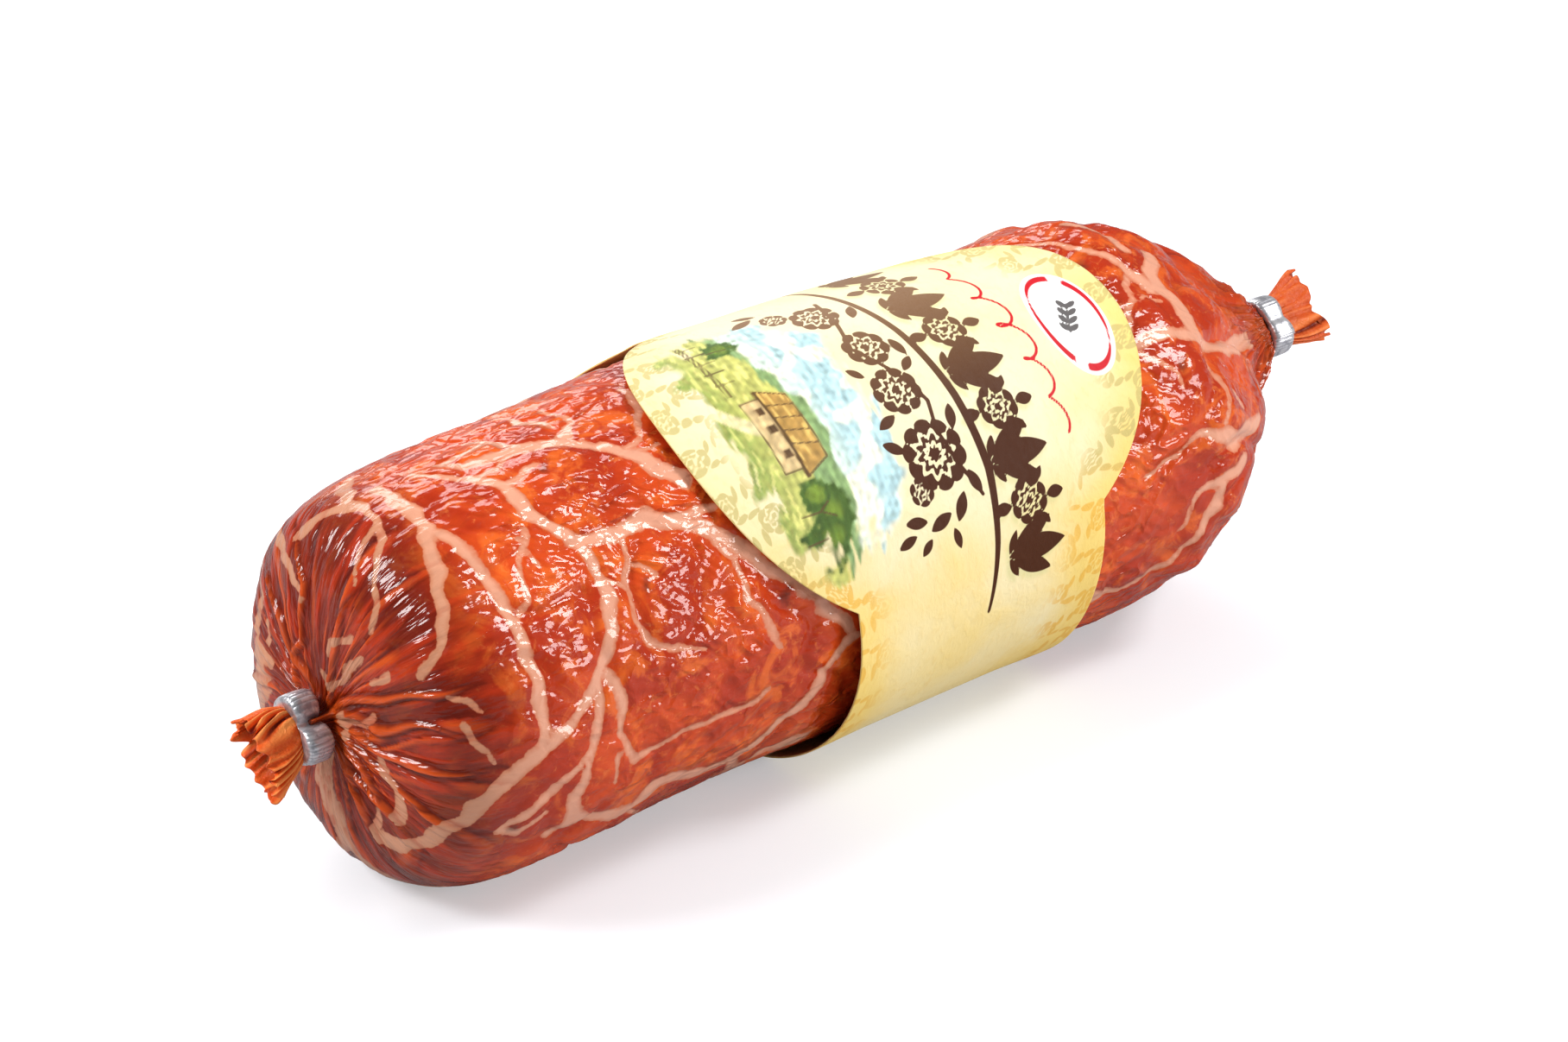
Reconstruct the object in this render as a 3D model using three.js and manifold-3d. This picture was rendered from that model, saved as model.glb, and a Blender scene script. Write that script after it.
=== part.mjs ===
// A cured sausage lying on its side: the filling in its tied casing, the metal clip that shuts each end,
// and the paper label wrapped round the middle.
// Millimetres. X runs along the sausage from the near end to the far end, Y to the back and Z up.
// A turn is an angle round the sausage: 0 faces the front (-Y), a quarter is the top, a half the back.

import * as THREE from "three";
import { mergeVertices } from "three/addons/utils/BufferGeometryUtils.js";
import Module from "manifold-3d";

const wasm = await Module();
wasm.setup();

// ---- Body of the sausage ----
const BODY_LENGTH = 228.2; // from neck to neck
const BODY_RADIUS = 40.4; // at the near end, over the highest lumps
const FAR_SWELL = 0.5; // the far end is this much fatter
const DENT_DEPTH = 1.1; // between the lumps of meat under the casing
const REST_DEPTH = 1.2; // the weight flattens the underside by this much
const WAIST_DEPTH = 1.0; // the label pulls the body in
const WAIST_X = 46; // at the label's tight edge
const WAIST_SPREAD = 22;

const NEAR_DOME_LENGTH = 80; // the blunt end
const NEAR_DOME_FLATNESS = 8.6;
const NEAR_DOME_ROUNDNESS = 0.36;
const NEAR_NECK_RISE = 2.2; // the gathered casing stands out of the dome by this much
const NEAR_BEND = { y: -4.2, z: -1, power: 1 }; // how far the neck is off the middle line

const FAR_DOME_LENGTH = 43; // the tapered end
const FAR_DOME_FLATNESS = 1.47;
const FAR_DOME_ROUNDNESS = 0.67;
const FAR_BEND = { y: -7, z: 7.9, power: 5 };

// ---- Gathered necks and tails of the casing ----
const NECK_WIDTH = 8.4;
const NECK_DEPTH = 5.0;
const NEAR_ROLL = THREE.MathUtils.degToRad(48); // a neck's wide axis, below the level of the front
const FAR_ROLL = THREE.MathUtils.degToRad(42);
const NEAR_TAIL = { length: 11, width: 16, depth: 8.5, drop: 3.6, mouth: 4.5, pleats: 7, pleat: 0.1 };
const FAR_TAIL = { length: 9.8, width: 14.5, depth: 3.2, drop: -1.6, mouth: 0.8, pleats: 8, pleat: 0.1 };

// ---- Metal clips ----
const CLIP_LENGTH = 4.6; // along the neck
const CLIP_THICKNESS = 1.9;
const CLIP_LOBE = 0.7; // the two crimped legs bulge by this much
const CLIP_NOTCH = 1.0; // and meet in a notch this deep
const CLIP_ROUNDING = 0.45;
const CLEARANCE = 0.3; // between a piece and the piece it holds

// ---- Paper label ----
const PAPER = 0.6; // thickness, with its glue
const STRIP_WIDTH = 62.4;
const STRIP_X = 11.4;
const PANEL_WIDTH = 106.6; // the oval panels are wider than the strip that joins them
const PANEL_REACH = 48; // half their length round the body
const PANEL_X = 9.3;
const FRONT_PANEL_TURN = THREE.MathUtils.degToRad(64);
const BACK_PANEL_TURN = THREE.MathUtils.degToRad(190);
const SLACK = 3.2; // the loose near edge stands off the body by this much
const SLACK_END_X = 34; // where the label becomes tight
const LOOSE_SPOTS = [
  { turn: THREE.MathUtils.degToRad(-14), spread: 0.55, share: 1 },
  { turn: THREE.MathUtils.degToRad(142), spread: 0.45, share: 0.3 },
];

// ---- Fineness of the surfaces ----
const BODY_SEGMENTS = 48;
const LABEL_SEGMENTS = 90;
const LABEL_COLUMNS = 9;
const CLIP_SEGMENTS = 44;

const { clamp, lerp, smoothstep } = THREE.MathUtils;
const HALF_LENGTH = BODY_LENGTH / 2;

// How far a point is from the near neck and from the far one, as shares of the two domes.
const nearShare = (x) => clamp((x + HALF_LENGTH) / NEAR_DOME_LENGTH, 0, 1);
const farShare = (x) => clamp((HALF_LENGTH - x) / FAR_DOME_LENGTH, 0, 1);

// Radius of the body at x with both its ends left full: a slow swell, and a waist at the tight label.
function fullRadius(x) {
  const waist = WAIST_DEPTH * Math.exp(-(((x - WAIST_X) / WAIST_SPREAD) ** 2));
  return BODY_RADIUS + FAR_SWELL * (x / BODY_LENGTH + 0.5) - waist;
}

// Radius of the body at x, drawn in to a point at each end.
function bodyRadius(x) {
  const near = (1 - (1 - nearShare(x)) ** NEAR_DOME_FLATNESS) ** NEAR_DOME_ROUNDNESS;
  const far = (1 - (1 - farShare(x)) ** FAR_DOME_FLATNESS) ** FAR_DOME_ROUNDNESS;
  return fullRadius(x) * near * far;
}

// Middle line of the body at x. It lies one flattened radius above the ground and bends to each neck.
function middle(x) {
  const near = (1 - nearShare(x)) ** NEAR_BEND.power;
  const far = (1 - farShare(x)) ** FAR_BEND.power;
  return {
    y: near * NEAR_BEND.y + far * FAR_BEND.y,
    z: fullRadius(x) - REST_DEPTH + near * NEAR_BEND.z + far * FAR_BEND.z,
  };
}

// Depth of the dents between the lumps, from 0 to DENT_DEPTH, shallow where the body narrows.
function dent(x, turn) {
  const long = Math.sin(2 * turn + x / 17) * Math.cos(x / 23 + 1.3);
  const middling = Math.sin(3 * turn - x / 11 + 0.7);
  const short = Math.sin(5 * turn + x / 7.3) * Math.cos(x / 9);
  const mixed = 0.5 + 0.22 * long + 0.16 * middling + 0.12 * short;
  return DENT_DEPTH * mixed * (bodyRadius(x) / fullRadius(x)) ** 2;
}

// A closed surface through a list of oval rows, each with its middle (x, y, z), width, depth and roll.
// They run from the far end to the near end, and the first and last have no width and close the ends.
// `relief` is added to a point's distance from the middle.
function loft(rows, segments, relief) {
  const carrier = rows.map((row) => new THREE.Vector2(row.width / 2, row.x));
  const geometry = new THREE.LatheGeometry(carrier, segments);
  const { position } = geometry.attributes;
  for (let i = 0; i < position.count; i++) {
    const row = rows[i % rows.length];
    const turn = (2 * Math.PI * (Math.floor(i / rows.length) % segments)) / segments;
    const stretch = 1 + relief(row, turn) / Math.max(row.width / 2, 1e-6);
    const across = (row.width / 2) * Math.cos(turn + row.roll) * stretch;
    const through = (row.depth / 2) * Math.sin(turn + row.roll) * stretch;
    const front = across * Math.cos(row.roll) + through * Math.sin(row.roll);
    const up = through * Math.cos(row.roll) - across * Math.sin(row.roll);
    position.setXYZ(i, row.x, row.y - front, row.z + up);
  }
  return geometry;
}

// Rows of the body from neck to neck, closest together where it narrows fastest.
function bodyRows() {
  const rows = [];
  const addRow = (x, rise) => {
    const width = 2 * bodyRadius(x);
    rows.push({ x: x + rise, ...middle(x), width, depth: width, roll: 0, lumpy: true });
  };
  for (const share of [0.0006, 0.004, 0.012, 0.03, 0.06, 0.11, 0.18, 0.28, 0.4, 0.55, 0.75, 1]) {
    addRow(share * NEAR_DOME_LENGTH - HALF_LENGTH, NEAR_NECK_RISE * Math.exp(-share * 12));
  }
  const plain = BODY_LENGTH - NEAR_DOME_LENGTH - FAR_DOME_LENGTH;
  const plainRows = 12;
  for (let i = 1; i < plainRows; i++) {
    addRow(NEAR_DOME_LENGTH - HALF_LENGTH + (i / plainRows) * plain, 0);
  }
  for (const share of [1, 0.82, 0.66, 0.52, 0.39, 0.28, 0.19, 0.12]) {
    addRow(HALF_LENGTH - share * FAR_DOME_LENGTH, 0);
  }
  return rows;
}

// Rows of one neck and its tail, from the body outwards. `side` is -1 at the near end, 1 at the far end.
function tailRows(side, roll, tail) {
  const start = middle(side * HALF_LENGTH);
  const clipEnd = HALF_LENGTH + CLIP_LENGTH + 2 * CLEARANCE;
  const row = (distance, width, depth, drop, spread) => ({
    x: side * distance,
    y: start.y,
    z: start.z - drop,
    width,
    depth,
    roll,
    pleats: tail.pleats,
    pleat: tail.pleat * spread,
  });
  const rows = [row(HALF_LENGTH, NECK_WIDTH, NECK_DEPTH, 0, 0), row(clipEnd, NECK_WIDTH, NECK_DEPTH, 0, 0)];
  const steps = 5;
  for (let i = 1; i <= steps; i++) {
    const share = i / steps;
    const width = lerp(NECK_WIDTH, tail.width, share ** 0.8);
    const depth = lerp(NECK_DEPTH, tail.depth, share ** 0.8);
    rows.push(row(clipEnd + share * tail.length, width, depth, tail.drop * share, share));
  }
  const bottom = clipEnd + tail.length - tail.mouth;
  rows.push(row(bottom + tail.mouth * 0.3, tail.width * 0.5, tail.depth * 0.5, tail.drop, 0.5));
  rows.push(row(bottom, 0, 0, tail.drop, 0));
  return rows;
}

// A three.js geometry, with its shared vertices joined, as a solid.
function solidOf(geometry) {
  const plain = geometry.clone();
  plain.deleteAttribute("normal");
  plain.deleteAttribute("uv");
  const merged = mergeVertices(plain, 1e-4);
  const vertProperties = new Float32Array(merged.attributes.position.array);
  const triVerts = new Uint32Array(merged.index.array);
  return new wasm.Manifold(new wasm.Mesh({ numProp: 3, vertProperties, triVerts }));
}

// A solid as a three.js geometry.
function geometryOf(solid) {
  const mesh = solid.getMesh();
  const geometry = new THREE.BufferGeometry();
  geometry.setAttribute("position", new THREE.BufferAttribute(mesh.vertProperties, 3));
  geometry.setIndex(new THREE.BufferAttribute(mesh.triVerts, 1));
  geometry.computeVertexNormals();
  return geometry;
}

// A box under the sausage from x0 to x1, whose top is at z.
function groundBox(x0, x1, z) {
  const thick = BODY_RADIUS;
  const box = new THREE.BoxGeometry(x1 - x0, 4 * BODY_RADIUS, thick);
  return solidOf(box.translate((x0 + x1) / 2, 0, z - thick / 2));
}

// The filling in its casing, one solid with both gathered necks and tails. Its underside is flat on the
// ground, and pressed up under the label by the paper.
function sausageGeometry() {
  const rows = [
    ...tailRows(1, FAR_ROLL, FAR_TAIL).reverse(),
    ...bodyRows().reverse(),
    ...tailRows(-1, NEAR_ROLL, NEAR_TAIL),
  ];
  const relief = (row, turn) => {
    if (row.lumpy) return -dent(row.x, turn);
    return (row.width / 2) * row.pleat * Math.cos(row.pleats * turn);
  };
  const whole = solidOf(loft(rows, BODY_SEGMENTS, relief));
  const ends = HALF_LENGTH + Math.max(NEAR_TAIL.length, FAR_TAIL.length) + 2 * CLIP_LENGTH;
  const strip = STRIP_WIDTH / 2 + CLEARANCE;
  const ground = groundBox(-ends, ends, 0);
  const press = groundBox(STRIP_X - strip, STRIP_X + strip, PAPER + CLEARANCE);
  return geometryOf(whole.subtract(ground).subtract(press));
}

// The label's two edges at a turn: the strip's own, pushed out where a panel is wider.
function labelEdges(turn) {
  let [left, right] = [STRIP_X - STRIP_WIDTH / 2, STRIP_X + STRIP_WIDTH / 2];
  for (const centre of [FRONT_PANEL_TURN, BACK_PANEL_TURN]) {
    const around = BODY_RADIUS * Math.abs(turnBetween(turn, centre));
    if (around >= PANEL_REACH) continue;
    const half = (PANEL_WIDTH / 2) * Math.sqrt(1 - (around / PANEL_REACH) ** 2);
    left = Math.min(left, PANEL_X - half);
    right = Math.max(right, PANEL_X + half);
  }
  return [left, right];
}

// The shorter way round from one turn to another, from -PI to PI.
function turnBetween(turn, centre) {
  const around = turn - centre;
  return Math.atan2(Math.sin(around), Math.cos(around));
}

// How far the label stands off the body: most at the near edge, in two loose spots.
function standOff(x, turn) {
  const nearness = 1 - smoothstep(x, PANEL_X - PANEL_WIDTH / 2, SLACK_END_X);
  let loose = 0;
  for (const spot of LOOSE_SPOTS) {
    loose += spot.share * Math.exp(-((turnBetween(turn, spot.turn) / spot.spread) ** 2));
  }
  return CLEARANCE + SLACK * nearness * loose;
}

// The paper label: a strip glued into a loop, with an oval panel at the front and one at the back. Under
// the sausage it lies flat on the ground.
function labelGeometry() {
  const [INNER, OUTER] = [1, 2];
  const profile = [];
  for (let i = 0; i <= LABEL_COLUMNS; i++) profile.push(new THREE.Vector2(INNER, i / LABEL_COLUMNS));
  for (let i = LABEL_COLUMNS; i >= 0; i--) profile.push(new THREE.Vector2(OUTER, i / LABEL_COLUMNS));
  profile.push(profile[0].clone());
  const geometry = new THREE.LatheGeometry(profile, LABEL_SEGMENTS);
  const { position } = geometry.attributes;
  for (let i = 0; i < position.count; i++) {
    const { x: layer, y: across } = profile[i % profile.length];
    const turn = (2 * Math.PI * (Math.floor(i / profile.length) % LABEL_SEGMENTS)) / LABEL_SEGMENTS;
    const x = lerp(...labelEdges(turn), across);
    const paper = layer === OUTER ? PAPER : 0;
    const radius = bodyRadius(x) + standOff(x, turn) + paper;
    const { y, z } = middle(x);
    const lowest = PAPER - paper;
    position.setXYZ(i, x, y - radius * Math.cos(turn), Math.max(z + radius * Math.sin(turn), lowest));
  }
  return geometryOf(solidOf(geometry));
}

// How far a clip's outer face bulges at a turn: two crimped lobes side by side at the top, with a notch
// between them.
function crimp(turn) {
  const side = Math.abs(turnBetween(turn, Math.PI / 2));
  const lobes = CLIP_LOBE * Math.exp(-(((side - 0.8) / 0.45) ** 2));
  return lobes - CLIP_NOTCH * Math.exp(-((side / 0.22) ** 2));
}

// One clip, a strap of soft metal bent round a neck, its section a flat bar with broken edges. It stands
// on the Z axis with the neck's wide axis along X.
function clipGeometry() {
  const [half, edge] = [CLIP_LENGTH / 2, CLIP_ROUNDING];
  const section = [
    [0, edge - half],
    [edge, -half],
    [CLIP_THICKNESS - edge, -half],
    [CLIP_THICKNESS, edge - half],
    [CLIP_THICKNESS, half - edge],
    [CLIP_THICKNESS - edge, half],
    [edge, half],
    [0, half - edge],
    [0, edge - half],
  ];
  const profile = section.map(([out, along]) => new THREE.Vector2(NECK_WIDTH / 2 + out, along));
  const geometry = new THREE.LatheGeometry(profile, CLIP_SEGMENTS);
  const { position } = geometry.attributes;
  for (let i = 0; i < position.count; i++) {
    const [out, along] = section[i % section.length];
    const turn = (2 * Math.PI * (Math.floor(i / section.length) % CLIP_SEGMENTS)) / CLIP_SEGMENTS;
    const grow = CLEARANCE + out + (out / CLIP_THICKNESS) * crimp(turn);
    const wide = (NECK_WIDTH / 2 + grow) * Math.cos(turn);
    position.setXYZ(i, wide, (NECK_DEPTH / 2 + grow) * Math.sin(turn), along);
  }
  return geometryOf(solidOf(geometry));
}

// A clip set on a neck. Its outline's X lies along the neck's wide axis and its lobes face up.
function clipOn(name, side, roll) {
  const clip = new THREE.Mesh(
    clipGeometry(),
    new THREE.MeshStandardMaterial({ color: 0xb4b6ba, roughness: 0.32, metalness: 1 }),
  );
  clip.name = name;
  const { y, z } = middle(side * HALF_LENGTH);
  const wide = new THREE.Vector3(0, -Math.cos(roll), -Math.sin(roll));
  const lobes = new THREE.Vector3(0, -Math.sin(roll), Math.cos(roll));
  const along = new THREE.Vector3().crossVectors(wide, lobes);
  clip.quaternion.setFromRotationMatrix(new THREE.Matrix4().makeBasis(wide, lobes, along));
  clip.position.set(side * (HALF_LENGTH + CLEARANCE + CLIP_LENGTH / 2), y, z);
  return clip;
}

const sausage = new THREE.Mesh(
  sausageGeometry(),
  new THREE.MeshStandardMaterial({ color: 0xb4391d, roughness: 0.28, metalness: 0 }),
);
sausage.name = "sausage";

const label = new THREE.Mesh(
  labelGeometry(),
  new THREE.MeshStandardMaterial({ color: 0xf3e4a8, roughness: 0.75, metalness: 0 }),
);
label.name = "paper_label";

// The pieces, moved so that the origin is under the middle of their common box.
const placed = new THREE.Group();
placed.add(sausage, label, clipOn("near_clip", -1, NEAR_ROLL), clipOn("far_clip", 1, FAR_ROLL));
const box = new THREE.Box3().setFromObject(placed, true);
const centre = box.getCenter(new THREE.Vector3());
placed.position.set(-centre.x, -centre.y, -box.min.z);

const part = new THREE.Group();
part.add(placed);

export default part;
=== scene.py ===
"""A cured sausage on its side: a netted red casing, two crimped metal clips and a printed paper label.

Lengths are in millimetres until a mesh is made, and metres from there on. In the body's own frame X runs
from the near end to the far end, Y to the back and Z up, with the ground at 0. A turn is an angle round
the body: 0 faces the front (-Y), 90 degrees is the top and 180 the back. A walk is a length measured on
the casing from the near neck to the far one.
"""

import logging
import math
from dataclasses import dataclass, field
from enum import Enum
from typing import Any, Iterable, Sequence

import bpy
import numpy as np
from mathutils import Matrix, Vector


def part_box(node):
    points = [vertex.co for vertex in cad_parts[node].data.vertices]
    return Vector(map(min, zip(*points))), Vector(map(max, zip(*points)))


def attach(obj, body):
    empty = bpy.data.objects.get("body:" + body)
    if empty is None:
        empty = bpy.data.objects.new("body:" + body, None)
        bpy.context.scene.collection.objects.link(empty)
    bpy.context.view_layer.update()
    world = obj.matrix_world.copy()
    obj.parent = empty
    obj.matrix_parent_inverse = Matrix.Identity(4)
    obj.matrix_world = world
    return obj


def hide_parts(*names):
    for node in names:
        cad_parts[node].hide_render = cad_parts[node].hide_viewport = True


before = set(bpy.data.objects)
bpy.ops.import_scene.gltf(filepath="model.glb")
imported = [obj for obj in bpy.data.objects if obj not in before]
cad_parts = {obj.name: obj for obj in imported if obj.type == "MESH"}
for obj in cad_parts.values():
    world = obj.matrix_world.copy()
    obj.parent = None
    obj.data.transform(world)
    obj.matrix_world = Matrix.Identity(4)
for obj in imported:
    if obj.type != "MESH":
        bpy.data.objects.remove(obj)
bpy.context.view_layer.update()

log = logging.getLogger("sausage")

Array = np.ndarray
Route = Sequence[tuple[float, float, float]]

MM = 0.001
BODY = "root"


# ---------------------------------------------------------------------------------------------------
# Numbers and fields
# ---------------------------------------------------------------------------------------------------


def ease(value: Array, start: float, stop: float) -> Array:
    """Smooth step: 0 at start, 1 at stop, 3t^2 - 2t^3 between, where t is the share of the way.

    Args:
        value: where the step is read.
        start: the value at which it begins; it may be the larger one.
        stop: the value at which it ends.

    Returns:
        The step's height, from 0 to 1.
    """
    share = np.clip((value - start) / (stop - start), 0.0, 1.0)
    return share * share * (3.0 - 2.0 * share)


def bell(value: Array, width: float) -> Array:
    """Bell curve: exp(-(value / width)^2)."""
    return np.exp(-((value / width) ** 2))


def waves(points: Array, length: float, seed: int, count: int = 26) -> Array:
    """Smooth random field of about unit height: a sum of sine waves that run in random directions.

    The value is sqrt(2 / count) times the sum of sin(2 pi (direction . point) / wavelength + phase).

    Args:
        points: places, with X, Y and Z last.
        length: middle wavelength, in the units of the points.
        seed: picks the waves.
        count: how many waves are added.

    Returns:
        The field at each place.
    """
    rng = np.random.default_rng(seed)
    ways = rng.normal(size=(count, 3))
    ways /= np.linalg.norm(ways, axis=1, keepdims=True)
    sizes = length * rng.uniform(0.7, 1.4, count)
    phases = rng.uniform(0.0, 2.0 * math.pi, count)
    total = np.zeros(points.shape[:-1])
    for way, size, phase in zip(ways, sizes, phases):
        total += np.sin(points @ (way * (2.0 * math.pi / size)) + phase)
    return total * math.sqrt(2.0 / count)


def spread(*fields: Any) -> Array:
    """Three fields spread over one grid, as the X, Y and Z of its points."""
    return np.stack(np.broadcast_arrays(*fields), axis=-1)


def paced(shares: Array, bounds: Array, weights: Sequence[float]) -> Array:
    """Values that run through some bounds, closer together where a stretch has more weight.

    Args:
        shares: share of the way for each value, from 0 to 1.
        bounds: where each stretch starts, and where the last one stops.
        weights: how close the values are in each stretch.

    Returns:
        The values.
    """
    amounts = np.array(weights) * np.diff(bounds)
    filled = np.concatenate([[0.0], np.cumsum(amounts)]) / amounts.sum()
    return np.interp(shares, filled, bounds)


def turn_between(turn: Array, centre: float) -> Array:
    """Shorter way round from one turn to another, from -pi to pi."""
    return np.arctan2(np.sin(turn - centre), np.cos(turn - centre))


def line_field(walk: Array, turn: Array, radius: Array, routes: Iterable[Route]) -> Array:
    """Signed distance to the nearest of some tapering lines, negative inside them.

    Each stretch of a route is a bar whose width changes evenly from one end to the other. The distance to
    it is the distance to the nearest point of its middle line, less half its width there.

    Args:
        walk: first coordinate of the places, in mm.
        turn: second coordinate, in radians.
        radius: mm that one radian of turn measures at each place.
        routes: lines, each a list of (walk in mm, turn in degrees, width in mm).

    Returns:
        The distance in mm.
    """
    nearest = np.full(np.broadcast(walk, turn).shape, 99.0)
    for route in routes:
        stops = [(mm, math.radians(degrees), width / 2.0) for mm, degrees, width in route]
        for (walk_a, turn_a, half_a), (walk_b, turn_b, half_b) in zip(stops, stops[1:]):
            step_walk, step_turn = walk_b - walk_a, (turn_b - turn_a) * radius
            away_walk, away_turn = walk - walk_a, turn_between(turn, turn_a) * radius
            length = step_walk**2 + step_turn**2 + 1e-9
            share = np.clip((away_walk * step_walk + away_turn * step_turn) / length, 0.0, 1.0)
            gap = np.hypot(away_walk - share * step_walk, away_turn - share * step_turn)
            nearest = np.minimum(nearest, gap - (half_a + share * (half_b - half_a)))
    return nearest


def rgb(red: int, green: int, blue: int) -> tuple[float, float, float, float]:
    """Display colour from 0 to 255 as linear light."""
    return (*(linear(np.array([red, green, blue]) / 255.0)).tolist(), 1.0)


def linear(display: Array) -> Array:
    """Display values from 0 to 1 as linear light: the usual curve of power 2.4 with a straight toe."""
    return np.where(display <= 0.04045, display / 12.92, ((display + 0.055) / 1.055) ** 2.4)


# ---------------------------------------------------------------------------------------------------
# Meshes
# ---------------------------------------------------------------------------------------------------


@dataclass
class Place:
    """Where the body's own frame stands in the part's frame."""

    offset: Array = field(default_factory=lambda: np.zeros(3))

    def metres(self, points: Array) -> Array:
        """Body points in mm as part points in metres."""
        return (points + self.offset) * MM


def grid_faces(rows: int, columns: int, wrap_rows: bool, wrap_columns: bool, first: int = 0) -> Array:
    """Four-cornered faces of a grid of vertices that are numbered row by row.

    Args:
        rows: number of rows.
        columns: vertices in a row.
        wrap_rows: the last row joins the first.
        wrap_columns: each row is a ring.
        first: number of the grid's first vertex.

    Returns:
        One row of four vertex numbers per face.
    """
    row = np.arange(rows if wrap_rows else rows - 1)[:, None]
    column = np.arange(columns if wrap_columns else columns - 1)[None, :]
    next_row, next_column = (row + 1) % rows, (column + 1) % columns
    corners = [
        row * columns + column,
        row * columns + next_column,
        next_row * columns + next_column,
        next_row * columns + column,
    ]
    return first + np.stack([c.reshape(-1) for c in np.broadcast_arrays(*corners)], axis=-1)


def tube_faces(rows: int, columns: int) -> list[list[int]]:
    """Faces of a closed tube: rings of vertices, then one end point before them and one after them.

    Args:
        rows: number of rings.
        columns: vertices in a ring.

    Returns:
        Vertex numbers of each face. The end points are numbered after the rings.
    """
    faces = grid_faces(rows, columns, False, True).tolist()
    start, stop, last = rows * columns, rows * columns + 1, (rows - 1) * columns
    for column in range(columns):
        other = (column + 1) % columns
        faces.append([start, other, column])
        faces.append([stop, last + column, last + other])
    return faces


def faces_outward(points: Array, faces: list[list[int]]) -> bool:
    """Whether a closed mesh's faces turn outwards: the sum of the volumes under its faces is positive."""
    corners = np.array([face[:3] for face in faces])
    spare = [(face[0], face[i], face[i + 1]) for face in faces for i in range(2, len(face) - 1)]
    corners = np.vstack([corners, np.array(spare).reshape(-1, 3)])
    a, b, c = (points[corners[:, i]] for i in range(3))
    return float(np.einsum("ij,ij->i", a, np.cross(b, c)).sum()) > 0.0


def add_to_scene(name: str, data: Any) -> bpy.types.Object:
    """A new object in the scene, at the origin."""
    made = bpy.data.objects.new(name, data)
    bpy.context.scene.collection.objects.link(made)
    return made


def make_object(name: str, points: Array, faces: list[list[int]], place: Place) -> bpy.types.Object:
    """A smooth-shaded object at the origin, its faces turned outwards.

    Args:
        name: the piece's name.
        points: vertices in the body's frame, in mm.
        faces: vertex numbers of each face.
        place: where the body stands in the part.

    Returns:
        The new object.
    """
    if not faces_outward(points, faces):
        faces = [face[::-1] for face in faces]
    mesh = bpy.data.meshes.new(name)
    mesh.from_pydata(place.metres(points).tolist(), [], faces)
    mesh.polygons.foreach_set("use_smooth", np.ones(len(mesh.polygons), bool))
    mesh.update()
    return add_to_scene(name, mesh)


def make_tube(name: str, rings: Array, place: Place) -> bpy.types.Object:
    """A closed tube of rings of points, each end drawn in to the middle of its last ring."""
    ends = np.stack([rings[0].mean(axis=0), rings[-1].mean(axis=0)])
    vertices = np.concatenate([rings.reshape(-1, 3), ends])
    return make_object(name, vertices, tube_faces(*rings.shape[:2]), place)


def store(piece: bpy.types.Object, name: str, values: Array) -> None:
    """Stores a number, a vector or a linear colour per vertex, for the piece's material to read."""
    values = values.reshape(len(piece.data.vertices), -1).astype(np.float32)
    kinds = {1: ("FLOAT", "value"), 3: ("FLOAT_VECTOR", "vector"), 4: ("FLOAT_COLOR", "color")}
    kind, part = kinds[values.shape[1]]
    layer = piece.data.attributes.new(name, kind, "POINT")
    layer.data.foreach_set(part, values.reshape(-1))


def register(piece: bpy.types.Object, node: str, material: bpy.types.Material) -> None:
    """Dresses a finished piece, sets it on the body and has it stand for its CAD node.

    Args:
        piece: the finished object.
        node: the CAD node that it replaces.
        material: its finish.
    """
    piece.data.materials.append(material)
    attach(piece, BODY)
    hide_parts(node)
    log.info("%s: %d vertices, %d faces", piece.name, len(piece.data.vertices), len(piece.data.polygons))


# ---------------------------------------------------------------------------------------------------
# Form of the body and label
# ---------------------------------------------------------------------------------------------------


class End(Enum):
    """The two ends of the sausage, as signs along X."""

    NEAR = -1
    FAR = 1


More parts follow.
